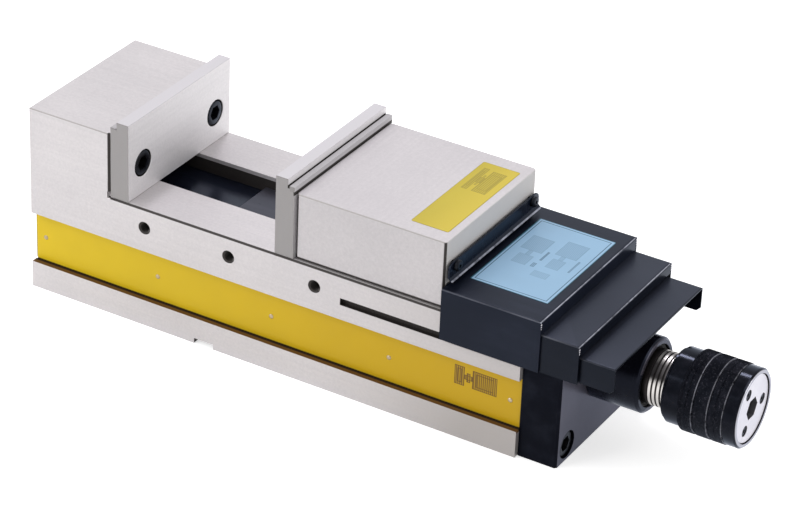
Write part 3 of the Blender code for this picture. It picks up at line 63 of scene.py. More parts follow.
SIDES = ((-1, "near"), (1, "far"))
FIRST_MARK, MARK_PITCH = 0.4687, 0.0032  # of the lines on the pressure scale
WHITE = (1.0, 1.0, 1.0, 1.0)
Colour = tuple[float, float, float]
Pair = tuple[float, float]
Triple = tuple[float, float, float]
Box = tuple[Triple, Triple]
Zone = tuple[Box, Colour]


class Body(Enum):
    """The moving bodies of the vise."""

    ROOT = "root"
    CARRIAGE = "feed_carriage"
    SPINDLE = "spindle"
    HANDLE = "handle_set"
    ROD = "rod_set"
    JAW = "jaw_set"
    MIDDLE = "middle_cover"
    PIN = "pin"


class Grain(Enum):
    """The direction in which a face was ground."""

    ALONG_X = (6.0, 420.0, 420.0)
    ALONG_Y = (420.0, 6.0, 420.0)


def at(place: float) -> float:
    """The frame's X of a place that is measured from the fixed-jaw end."""
    return place - HALF_LENGTH


def box(x: Pair, y: Pair, z: Pair) -> Box:
    """The box over three spans, of which X is measured from the fixed-jaw end."""
    return (at(x[0]), y[0], z[0]), (at(x[1]), y[1], z[1])


def both(x: Pair, y: Pair, z: Pair) -> tuple[Box, Box]:
    """A box on the far side and its mirror image on the near side."""
    return box(x, y, z), box(x, (-y[1], -y[0]), z)


def aim(centre: Triple, axis: Triple) -> Matrix:
    """The placement of a form that was made along Z and has to look along an axis from a centre."""
    turn = Vector((0, 0, 1)).rotation_difference(Vector(axis)).to_matrix().to_4x4()
    return Matrix.Translation(Vector(centre)) @ turn


# Shader maths


class Wire:
    """A node's output socket that Python's operators extend with Math nodes."""

    def __init__(self, sheet: "Sheet", socket: bpy.types.NodeSocket) -> None:
        """Wrap a socket.

        Args:
            sheet: the node sheet that the socket is on.
            socket: the output socket.
        """
        self.sheet = sheet
        self.socket = socket

    def math(self, operation: str, *values: Union["Wire", float]) -> "Wire":
        """A Math node fed by the values in order.

        Args:
            operation: the Math node's operation.
            values: its inputs.

        Returns:
            The result as a wire.
        """
        return self.sheet.node("ShaderNodeMath", {"operation": operation}, dict(enumerate(values)))

    def __add__(self, other: Union["Wire", float]) -> "Wire":
        """The sum."""
        return self.math("ADD", self, other)

    __radd__ = __add__

    def __sub__(self, other: Union["Wire", float]) -> "Wire":
        """The difference."""
        return self.math("SUBTRACT", self, other)

    def __rsub__(self, other: float) -> "Wire":
        """The difference from a number."""
        return self.math("SUBTRACT", other, self)

    def __mul__(self, other: Union["Wire", float]) -> "Wire":
        """The product."""
        return self.math("MULTIPLY", self, other)

    __rmul__ = __mul__

    def absolute(self) -> "Wire":
        """The value without its sign."""
        return self.math("ABSOLUTE", self)

    def sine(self) -> "Wire":
        """The sine of the value in radians."""
        return self.math("SINE", self)

    def largest(self, other: Union["Wire", float]) -> "Wire":
        """The larger of two values."""
        return self.math("MAXIMUM", self, other)

    def step(self, low: float, high: float) -> "Wire":
        """A smooth step from 0 at low to 1 at high."""
        settings = {"interpolation_type": "SMOOTHSTEP"}
        return self.sheet.node("ShaderNodeMapRange", settings, {0: self, 1: low, 2: high})


def union(masks: Iterable[Wire]) -> Wire:
    """The largest of some masks at each point."""
    return reduce(Wire.largest, masks)


def dimmed(colour: Colour, share: float) -> Colour:
    """A colour of which each part is multiplied by a share."""
    return tuple(value * share for value in colour)


class Sheet:
    """The node sheet of a material or of the world, with its shader."""

    def __init__(self, owner: Union[bpy.types.Material, bpy.types.World], shader: str, out: str) -> None:
        """Empty the sheet and join a shader to its output.

        Args:
            owner: the material or world.
            shader: the shader's node type.
            out: the output's node type.
        """
        self.owner = owner
        owner.use_nodes = True
        self.tree = owner.node_tree
        self.tree.nodes.clear()
        self.out = self.tree.nodes.new(out)
        self.shader = self.tree.nodes.new(shader)
        self.tree.links.new(self.shader.outputs[0], self.out.inputs[0])

    @classmethod
    def principled(cls, name: str) -> "Sheet":
        """The sheet of a new material with a Principled shader."""
        return cls(bpy.data.materials.new(name), "ShaderNodeBsdfPrincipled", "ShaderNodeOutputMaterial")

    def node(self, kind: str, settings: dict[str, Any], inputs: dict[Any, Any], output: Any = 0) -> Wire:
        """Add a node.

        Args:
            kind: the node's type.
            settings: its properties, set before its sockets.
            inputs: values or wires by socket name or number.
            output: the name or number of the output that is wanted.

        Returns:
            That output as a wire.
        """
        made = self.tree.nodes.new(kind)
        for key, value in settings.items():
            setattr(made, key, value)
        for key, value in inputs.items():
            if isinstance(value, Wire):
                self.tree.links.new(value.socket, made.inputs[key])
            else:
                made.inputs[key].default_value = value
        return Wire(self, made.outputs[output])

    def place(self) -> Wire:
        """The point's Object coordinates."""
        return self.node("ShaderNodeTexCoord", {}, {}, "Object")

    def axes(self) -> tuple[Wire, Wire, Wire]:
        """The three Object coordinates as separate wires."""
        split = self.node("ShaderNodeSeparateXYZ", {}, {0: self.place()})
        outputs = split.socket.node.outputs
        return Wire(self, outputs[0]), Wire(self, outputs[1]), Wire(self, outputs[2])

    def seen(self) -> Wire:
        """A mask that is 1 for rays from the camera and for those that metal and glass send on."""
        kinds = ("Is Camera Ray", "Is Glossy Ray", "Is Transmission Ray")
        return union(self.node("ShaderNodeLightPath", {}, {}, kind) for kind in kinds)

    def noise(self, scale: Union[float, Triple], detail: float = 4.0, rough: float = 0.5) -> Wire:
        """A noise between about 0 and 1.

        Args:
            scale: how many cells a metre holds, along X, Y and Z or along all of them.
            detail: how many finer layers it has.
            rough: how strong they are.

        Returns:
            The noise as a wire.
        """
        cells = (scale,) * 3 if isinstance(scale, float) else scale
        mapped = self.node("ShaderNodeMapping", {}, {"Vector": self.place(), "Scale": cells})
        inputs = {"Vector": mapped, "Scale": 1.0, "Detail": detail, "Roughness": rough}
        return self.node("ShaderNodeTexNoise", {}, inputs)

    def blend(self, factor: Union[Wire, float], first: Any, second: Any) -> Wire:
        """Mix two colours.

        Args:
            factor: 0 for the first colour and 1 for the second.
            first: a colour or wire.
            second: a colour or wire.

        Returns:
            The mixed colour.
        """
        colours = [(*value, 1.0) if isinstance(value, tuple) else value for value in (first, second)]
        return self.node("ShaderNodeMix", {"data_type": "RGBA"}, {0: factor, 6: colours[0], 7: colours[1]}, 2)

    def bump(self, height: Wire, strength: float, distance: float) -> Wire:
        """A normal from a height."""
        return self.node("ShaderNodeBump", {}, {"Height": height, "Strength": strength, "Distance": distance})

    def set(self, **values: Any) -> None:
        """Set or link inputs of the shader, underscores standing for the spaces of their names."""
        for key, value in values.items():
            socket = self.shader.inputs[key.replace("_", " ")]
            if isinstance(value, Wire):
                self.tree.links.new(value.socket, socket)
            else:
                socket.default_value = value

    def inside(self, low: Pair, high: Pair, first: Wire, second: Wire, soft: float = 0.0001) -> Wire:
        """A mask that is 1 inside a rectangle.

        Args:
            low: the rectangle's lowest corner.
            high: its highest corner.
            first: the first coordinate.
            second: the second coordinate.
            soft: the width of the mask's edge.

        Returns:
            The mask.
        """
        spans = []
        for wire, start, end in ((first, low[0], high[0]), (second, low[1], high[1])):
            reach = (wire - (start + end) / 2).absolute()
            spans.append(1 - reach.step((end - start) / 2 - soft, (end - start) / 2 + soft))
        return spans[0] * spans[1]

    def within(self, boxes: Sequence[Box], soft: float = 0.0001) -> Wire:
        """A mask that is 1 inside any of some boxes.

        Args:
            boxes: the lowest and highest corner of each box.
            soft: the width of the mask's edge.

        Returns:
            The mask.
        """
        first, second, third = self.axes()
        parts = []
        for low, high in boxes:
            reach = (third - (low[2] + high[2]) / 2).absolute()
            half = (high[2] - low[2]) / 2
            level = 1 - reach.step(half - soft, half + soft)
            parts.append(self.inside(low[:2], high[:2], first, second, soft) * level)
        return union(parts)

    def hatched(self, low: Pair, high: Pair, first: Wire, second: Wire, stroke: float, pitch: float) -> Wire:
        """The mask of a rectangle's outline with ruled lines inside it.

        Args:
            low: the rectangle's lowest corner.
            high: its highest corner.
            first: the first coordinate.
            second: the second coordinate.
            stroke: the width of the outline.
            pitch: the distance between two ruled lines.

        Returns:
            The mask.
        """
        outer = self.inside(low, high, first, second, 0.00012)
        inner = self.inside((low[0] + stroke, low[1] + stroke), (high[0] - stroke, high[1] - stroke),
                            first, second, 0.00012)
        ruled = ((first * (math.tau / pitch)).sine() * 0.5 + 0.5).step(0.3, 0.9)
        return outer * (1 - inner) + inner * (ruled * 0.60 + 0.32)


# Finishes


class Finish:
    """A finish, which fills the node sheet of a new material."""

    name: str

    def make(self) -> bpy.types.Material:
        """Build the material."""
        sheet = Sheet.principled(self.name)
        self.paint(sheet)
        return sheet.owner

    def paint(self, sheet: Sheet) -> None:
        """Fill the sheet, which each finish does in its own way."""
        raise NotImplementedError


@dataclass(frozen=True)
class GroundSteel(Finish):
    """Surface-ground steel: a sandy grain, fine parallel lines and faint clouds, with painted shade on dark edges
    and hollows, a painted darkening towards +X and low down, and zones of painted shade and reflection.
    """

    name: str = "ground_steel"
    colour: Colour = (0.660, 0.630, 0.637)
    shade: Colour = (0.530, 0.506, 0.518)
    dark: Colour = (0.036, 0.031, 0.029)
    roughness: float = 0.46
    metallic: float = 0.50
    grain: Grain = Grain.ALONG_X
    shadows: tuple[Box, ...] = ()
    painted_light_and_shade: tuple[Zone, ...] = ()
    painted_gradient: float = 0.10

    def paint(self, sheet: Sheet) -> None:
        """Fill the sheet."""
        lines = sheet.noise(self.grain.value, 4.0, 0.6)
        clouds = sheet.noise(9.0, 3.0)
        sand = sheet.noise(520.0, 4.0, 0.7)
        scratches = sheet.noise((35.0, 900.0, 260.0), 2.0).step(0.72, 0.78)
        tone = (lines * 0.22 + clouds * 0.38 + sand * 0.40).step(0.30, 0.72)
        along, _, height = sheet.axes()
        # Painted shade: the colour darkens towards +X, and more so near the bottom, where less light falls.
        painted_dimming = along.step(-0.05, 0.16) * self.painted_gradient * (2.0 - height.step(0.0, 0.07))
        colour = sheet.blend(painted_dimming, sheet.blend(tone, self.shade, self.colour), (0.40, 0.375, 0.365))
        rough = self.roughness - 0.05 + lines * 0.07 + clouds * 0.05 - scratches * 0.06
        # Each listed zone is painted with a tint that stands in for the shade and reflections there, and is made
        # rougher.
        for place, tint in self.painted_light_and_shade:
            painted_zone = sheet.within((place,), 0.00015)
            colour = sheet.blend(painted_zone, colour, tint)
            rough = rough + painted_zone * 0.22
        # The shadow boxes are painted dark as shade, and made rougher.
        if self.shadows:
            mask = sheet.within(self.shadows, 0.00015)
            colour = sheet.blend(mask, colour, self.dark)
            rough = rough + mask * 0.12
        height = lines * 0.35 + sand * 0.45 - scratches * 0.4
        sheet.set(Base_Color=colour, Roughness=rough, Metallic=self.metallic,
                  Normal=sheet.bump(height, 0.09, 0.0002))


@dataclass(frozen=True)
class TurnedSteel(Finish):
    """Steel from the lathe, with fine rings along the spindle axis, and where asked a painted dark reflection band
    and zones of painted shade.
    """

    name: str = "turned_steel"
    colour: Colour = (0.80, 0.785, 0.765)
    roughness: float = 0.2
    metallic: float = 1.0
    pitch: float = 0.00022
    depth: float = 0.08
    painted_light_and_shade: tuple[Zone, ...] = ()
    # heights between which the near side gets a painted dark reflection
    band: Optional[Pair] = None

    def paint(self, sheet: Sheet) -> None:
        """Fill the sheet."""
        along, _, _ = sheet.axes()
        rings = (along * (math.tau / self.pitch)).sine() * 0.5 + 0.5
        drift = sheet.noise((900.0, 6.0, 6.0), 3.0)
        smear = sheet.noise(60.0, 3.0)
        colour = sheet.blend(smear.step(0.3, 0.8), dimmed(self.colour, 0.84), self.colour)
        # Painted reflection: between the band's two heights the near side is darkened, as if it mirrored darker
        # surroundings.
        if self.band:
            _, across, height = sheet.axes()
            low, high = self.band
            painted_dimming = height.step(low - 0.002, low + 0.001) * (1 - height.step(high - 0.001, high + 0.002))
            colour = sheet.blend(painted_dimming * (1 - across.step(-0.004, 0.004)), colour, (0.14, 0.13, 0.135))
        # Listed zones are painted with shade.
        for place, tint in self.painted_light_and_shade:
            colour = sheet.blend(sheet.within((place,), 0.0002), colour, tint)
        sheet.set(Base_Color=colour, Roughness=self.roughness + drift * 0.12 + smear * 0.06,
                  Metallic=self.metallic, Normal=sheet.bump(rings * 0.5 + drift * 0.5, self.depth, 0.0001))


COLD_TINT = (0.62, 0.74, 1.0, 1.0)


@dataclass(frozen=True)
class BlackOxide(Finish):
    """Blackened steel: nearly black with a blue cast, mottled and slightly rubbed."""

    name: str = "black_oxide"
    colour: Colour = (0.0060, 0.0062, 0.0105)
    rubbed: Colour = (0.020, 0.021, 0.031)
    roughness: float = 0.22
    metallic: float = 0.30
    specular: float = 0.12
    grain: float = 0.08
    painted_light_and_shade: tuple[Zone, ...] = ()

    def paint(self, sheet: Sheet) -> None:
        """Fill the sheet."""
        mottle = sheet.noise(55.0, 5.0, 0.6)
        tooling = sheet.noise((700.0, 90.0, 90.0), 3.0)
        colour = sheet.blend(mottle.step(0.42, 0.80), self.colour, self.rubbed)
        # Listed zones are painted with tints that stand in for light and shade: shade in recesses, reflections and
        # highlights on faces.
        for place, tint in self.painted_light_and_shade:
            colour = sheet.blend(sheet.within((place,), 0.0001) * (mottle * 0.3 + 0.7), colour, tint)
        sheet.set(Base_Color=colour, Roughness=self.roughness - 0.05 + mottle * 0.12 + tooling * 0.04,
                  Metallic=self.metallic, Specular_IOR_Level=self.specular, Specular_Tint=COLD_TINT,
                  Normal=sheet.bump(tooling * 0.6 + mottle * 0.4, self.grain, 0.0002))


@dataclass(frozen=True)
class KnurledOxide(Finish):
    """Blackened knurling: dark between the points, which are rubbed grey and painted lighter as glints, with light
    grey specks painted as glints.
    """

    pitch: float
    points: int
    start: float
    name: str = "knurled_oxide"
    grooves: tuple[Box, ...] = ()
    plain: tuple[Box, ...] = ()
    painted_light_and_shade: tuple[Zone, ...] = ()

    def paint(self, sheet: Sheet) -> None:
        """Fill the sheet."""
        along, across, height = sheet.axes()
        turn = sheet.node("ShaderNodeMath", {"operation": "ARCTAN2"}, {0: across, 1: height - AXIS_HEIGHT})
        rows = ((along - self.start) * (math.tau / self.pitch)).sine()
        grit = sheet.noise(620.0, 3.0, 0.7)
        facets = (turn * self.points).sine()
        peaks = (rows * facets * 0.5 + 0.5).step(0.70, 1.0)
        mottle = sheet.noise(160.0, 4.0, 0.6)
        # The points are painted lighter, partly as wear and partly as painted glints.
        wear_and_glint = peaks * mottle.step(0.35, 0.7)
        colour = sheet.blend(wear_and_glint, sheet.blend(mottle.step(0.4, 0.8), (0.0028, 0.0028, 0.0048),
                                               (0.0055, 0.0053, 0.0088)), (0.040, 0.039, 0.050))
        rim = sheet.within(self.grooves, 0.0001)
        colour = sheet.blend(rim * mottle.step(0.30, 0.60), colour, (0.30, 0.30, 0.34))
        for place, tint in self.painted_light_and_shade:
            colour = sheet.blend(sheet.within((place,), 0.0001) * (mottle * 0.3 + 0.7), colour, tint)
        plain = sheet.within(self.plain, 0.0002)
        # Painted glints: light grey specks from the grit noise, except on the plain parts and the groove edges.
        colour = sheet.blend(grit.step(0.56, 0.70) * (1 - plain) * (1 - rim), colour, (0.055, 0.053, 0.066))
        knurl = (rows * facets * 0.3 + grit * 2.0) * (1 - plain)
        sheet.set(Base_Color=colour, Roughness=0.24 + mottle * 0.08 - plain * 0.13, Metallic=0.30,
                  Specular_IOR_Level=0.12, Specular_Tint=COLD_TINT,
                  Normal=sheet.bump(knurl + mottle * 0.08, 0.55, 0.0004))


@dataclass(frozen=True)
class CoatedSheet(Finish):
    """Sheet steel with a satin dark coating: fine orange peel and dust, painted highlights along the bends, and
    upper faces painted lighter where asked.
    """

    name: str = "coated_sheet"
    colour: Colour = (0.0050, 0.0065, 0.0130)
    dust: Colour = (0.015, 0.018, 0.031)
    # colour of the painted highlights on the bends
    bright: Colour = (0.42, 0.43, 0.50)
    roughness: float = 0.29
    specular: float = 0.19
    bends: tuple[Box, ...] = ()
    faint: tuple[Box, ...] = ()
    lighter_tops: tuple[Box, ...] = ()

    def paint(self, sheet: Sheet) -> None:
        """Fill the sheet."""
        peel = sheet.noise(620.0, 3.0)
        cloud = sheet.noise(14.0, 4.0)
        wipes = sheet.noise((18.0, 160.0, 60.0), 4.0, 0.6)
        colour = sheet.blend((cloud * 0.6 + wipes * 0.4).step(0.40, 0.85), self.colour, self.dust)
        # The listed upper faces are painted a lighter colour, mottled by noise.
        if self.lighter_tops:
            colour = sheet.blend(sheet.within(self.lighter_tops, 0.0003) * (cloud * 0.5 + 0.4), colour,
                                 (0.036, 0.040, 0.058))
        # Painted highlights: the bends get the bright colour, broken up by noise, and the faint strips about a third
        # of it.
        if self.bends:
            bend_highlight = sheet.within(self.bends, 0.0002) * (wipes * 0.5 + cloud * 0.5).step(0.25, 0.60)
            colour = sheet.blend(bend_highlight, colour, self.bright)
        if self.faint:
            bend_highlight = sheet.within(self.faint, 0.0003) * (wipes * 0.5 + cloud * 0.5).step(0.30, 0.70) * 0.32
            colour = sheet.blend(bend_highlight, colour, self.bright)
        sheet.set(Base_Color=colour, Roughness=self.roughness - 0.05 + wipes * 0.12 + cloud * 0.04,
                  Metallic=0.25, Coat_Roughness=0.18, Coat_Weight=0.04, Specular_IOR_Level=self.specular,
                  Specular_Tint=COLD_TINT,
                  Normal=sheet.bump(peel * 0.8 + wipes * 0.2, 0.07, 0.0002))


@dataclass(frozen=True)
class MachinedIron(Finish):
    """Grey cast iron, milled and oiled."""

    name: str = "machined_iron"
    colour: Colour = (0.22, 0.22, 0.225)
    pores: Colour = (0.09, 0.09, 0.092)

    def paint(self, sheet: Sheet) -> None:
        """Fill the sheet."""
        speckle = sheet.noise(900.0, 3.0, 0.7)
        feed = sheet.noise((30.0, 480.0, 480.0), 3.0)
        cloud = sheet.noise(25.0, 3.0)
        colour = sheet.blend((speckle * 0.5 + cloud * 0.5).step(0.3, 0.65), self.pores, self.colour)
        sheet.set(Base_Color=colour, Roughness=0.40 + feed * 0.16, Metallic=0.8,
                  Normal=sheet.bump(speckle * 0.6 + feed * 0.4, 0.2, 0.0003))


@dataclass(frozen=True)
class Rubber(Finish):
    """Black rubber with a fine dull grain."""

    name: str = "black_rubber"

    def paint(self, sheet: Sheet) -> None:
        """Fill the sheet."""
        grain = sheet.noise(1500.0, 3.0)
        colour = sheet.blend(grain, (0.005, 0.005, 0.006), (0.014, 0.014, 0.016))
        sheet.set(Base_Color=colour, Roughness=0.62 + grain * 0.16, Metallic=0.0,
                  Normal=sheet.bump(grain, 0.25, 0.0002))


@dataclass(frozen=True)
class Brass(Finish):
    """Brass with tool marks along the bore, painted dark as shade deep in the socket."""

    name: str = "socket_brass"
    colour: Colour = (0.60, 0.45, 0.22)
    # the part of the socket that is painted dark as shade
    depth: Box = ((0.15, -0.02, 0.03), (at(0.5388), 0.02, 0.08))

    def paint(self, sheet: Sheet) -> None:
        """Fill the sheet."""
        marks = sheet.noise((20.0, 900.0, 900.0), 3.0)
        stain = sheet.noise(110.0, 3.0)
        colour = sheet.blend(stain.step(0.35, 0.75), (0.36, 0.26, 0.13), self.colour)
        # Painted shade: everything behind the end of the depth box is darkened.
        colour = sheet.blend(sheet.within((self.depth,), 0.0006), colour, (0.018, 0.013, 0.009))
        sheet.set(Base_Color=colour, Roughness=0.22 + marks * 0.18, Metallic=1.0,
                  Normal=sheet.bump(marks, 0.15, 0.0002))


@dataclass(frozen=True)
class YellowPrint(Finish):
    """Yellow printed foil: a ground with faint clouds and a painted gradient of light along its length, and a thin
    darker border.
    """

    low: Pair
    high: Pair
    upright: bool
    name: str = "yellow_print"
    colour: Colour = (0.79, 0.56, 0.011)
    # colour at the far end of the painted light gradient
    far: Colour = (0.60, 0.37, 0.006)
    edge: Colour = (0.30, 0.20, 0.02)
    border: float = 0.0006
    sketch: Optional[tuple[Pair, Pair]] = None
    ink: Colour = (0.12, 0.055, 0.012)

    def paint(self, sheet: Sheet) -> None:
        """Fill the sheet."""
        first, across, height = sheet.axes()
        second = height if self.upright else across
        cloud = sheet.noise(16.0, 3.0)
        grain = sheet.noise(700.0, 2.0)
        ground = sheet.blend(cloud.step(0.3, 0.8), dimmed(self.colour, 0.90), self.colour)
        # Painted light: the ground turns into the far colour along the plate, as the light changes along it.
        ground = sheet.blend(first.step(self.low[0], self.high[0]), ground, self.far)
        trim = self.border
        core = sheet.inside((self.low[0] + trim, self.low[1] + trim), (self.high[0] - trim, self.high[1] - trim),
                            first, second)
        colour = sheet.blend(core, self.edge, ground)
        if self.sketch:
            colour = sheet.blend(self.drawing(sheet, first, second), colour, self.ink)
        sheet.set(Base_Color=colour, Roughness=0.36 + cloud * 0.08 + grain * 0.04, Metallic=0.0,
                  Coat_Roughness=0.15, Coat_Weight=0.10, Specular_IOR_Level=0.25,
                  Normal=sheet.bump(grain, 0.04, 0.0001))

    def drawing(self, sheet: Sheet, first: Wire, second: Wire) -> Wire:
        """A plain outline drawing of two stepped blocks on a bar.

        Args:
            sheet: the material's nodes.
            first: the coordinate along the plate.
            second: the coordinate up the plate.

        Returns:
            The mask of the drawn lines.
        """
        (left, low), (right, high) = self.sketch
        width, height = right - left, high - low
        parts = []
        for a, b, c, d in ((0.0, 0.22, 0.08, 0.96), (0.06, 0.16, 0.20, 0.84), (0.40, 0.94, 0.08, 0.92),
                           (0.48, 0.86, 0.20, 0.80), (0.22, 0.40, 0.40, 0.62), (0.27, 0.35, 0.30, 0.72)):
            parts.append(sheet.hatched((left + width * a, low + height * c), (left + width * b, low + height * d),
                                       first, second, 0.0005, 0.0015))
        return union(parts)


@dataclass(frozen=True)
class BlueLabel(Finish):
    """Pale blue label with a dark frame, a teal left edge and plain ruled blocks."""

    low: Pair
    high: Pair
    name: str = "blue_label"
    colour: Colour = (0.32, 0.525, 0.73)
    line: Colour = (0.035, 0.10, 0.17)
    inset: float = 0.0022
    stroke: float = 0.0006

    def paint(self, sheet: Sheet) -> None:
        """Fill the sheet."""
        first, second, _ = sheet.axes()
        cloud = sheet.noise(20.0, 3.0)
        grain = sheet.noise(800.0, 2.0)
        ground = sheet.blend(cloud.step(0.3, 0.8), dimmed(self.colour, 0.92), self.colour)
        inset, stroke = self.inset, self.stroke
        low = (self.low[0] + inset, self.low[1] + inset)
        high = (self.high[0] - inset, self.high[1] - inset)
        inner = sheet.inside((low[0] + stroke, low[1] + stroke), (high[0] - stroke, high[1] - stroke), first,
                             second)
        mask = sheet.inside(low, high, first, second) * (1 - inner)
        tall, wide = high[1] - low[1], high[0] - low[0]
        for a, b, c, d, deep in ((0.10, 0.40, 0.57, 0.78, 0.42), (0.16, 0.36, 0.36, 0.50, 0.36),
                                 (0.23, 0.29, 0.50, 0.57, 0.36), (0.54, 0.84, 0.62, 0.84, 0.42),
                                 (0.58, 0.76, 0.42, 0.56, 0.36), (0.64, 0.70, 0.56, 0.62, 0.36),
                                 (0.52, 0.74, 0.26, 0.34, 0.30), (0.45, 0.48, 0.48, 0.62, 0.80),
                                 (0.42, 0.47, 0.37, 0.43, 0.75), (0.88, 0.905, 0.44, 0.62, 0.70)):
            part = sheet.hatched((low[0] + wide * a, low[1] + tall * c), (low[0] + wide * b, low[1] + tall * d),
                                 first, second, 0.0004, 0.0011)
            mask = mask.largest(part * deep)
        colour = sheet.blend(mask, ground, self.line)
        rim = 0.0005
        core = sheet.inside((self.low[0] + 0.0009, self.low[1] + rim), (self.high[0] - rim, self.high[1] - rim),
                            first, second)
        colour = sheet.blend(core, (0.02, 0.11, 0.16), colour)
        sheet.set(Base_Color=colour, Roughness=0.34 + cloud * 0.08, Metallic=0.0, Coat_Roughness=0.12,
                  Coat_Weight=0.08, Specular_IOR_Level=0.25, Normal=sheet.bump(grain, 0.04, 0.0001))


def casting_shadows() -> tuple[Box, ...]:
    """Painted shade on the casting: the chamfers beside the ways, the block's edge, the side holes and groove, the
    keyway notch and the trough's walls.
    """
    boxes = [box((0.1400, 0.1570), (-0.0647, 0.0647), (-0.001, 0.0045)),
             box((0.017, 0.401), (-0.0253, 0.0240), (0.040, 0.0942)),
             box((0.017, 0.401), (0.0240, 0.0253), (0.040, 0.0918)),
             *both((0.0687, 0.401), (0.0636, 0.0660), (0.0934, 0.0960)),
             *both((0.0669, 0.0695), (0.0632, 0.0660), (0.0940, 0.1460)),
             *both((0.2590, 0.401), (0.0600, 0.0646), (0.0716, 0.0779))]
    for place in SIDE_HOLES:
        boxes += both((place - 0.005, place + 0.005), (0.045, 0.0648), (0.0745, 0.0845))
    return tuple(boxes)


def jaw_shadows() -> tuple[Box, ...]:
    """Painted shade on the moving jaw's upright edges, its top front edge and its foot."""
    edge, height = (0.0604, 0.0630), (0.0940, 0.1446)
    return (box((0.220, 0.3385), (-0.0630, 0.0630), (0.0945, 0.0968)),
            box((0.2198, 0.2211), (-0.0650, 0.0650), (0.1446, 0.1460)),
            *both((0.2200, 0.2226), edge, height), *both((0.3362, 0.3385), edge, height))


def plate_shadows() -> tuple[Box, ...]:
    """Painted shade in the moving plate's relief groove, in the joint behind it and in the recesses of the jaw
    screws.
    """
    width, across, height = (-0.0650, 0.0650), (0.034, 0.057), (0.1070, 0.1300)
    return (box((0.2148, 0.2163), width, (0.1485, 0.1507)), box((0.2195, 0.2206), width, (0.1440, 0.1468)),
            *both((0.0694, 0.0832), across, height), *both((0.2060, 0.2196), across, height))


def scale_groove_shade() -> tuple[Zone, ...]:
    """Painted shade in the grooves of the pressure scale; the first reaches back into the nut's mouth."""
    painted_light_and_shade = []
    for step in range(1, 5):
        place = FIRST_MARK + MARK_PITCH * step
        start = place - 0.0007 - (0.016 if step == 1 else 0.0)
        painted_light_and_shade.append((box((start, place + 0.0007), (-0.03, 0.03), (0.02, 0.09)), (0.045, 0.04, 0.04)))
    return tuple(painted_light_and_shade)


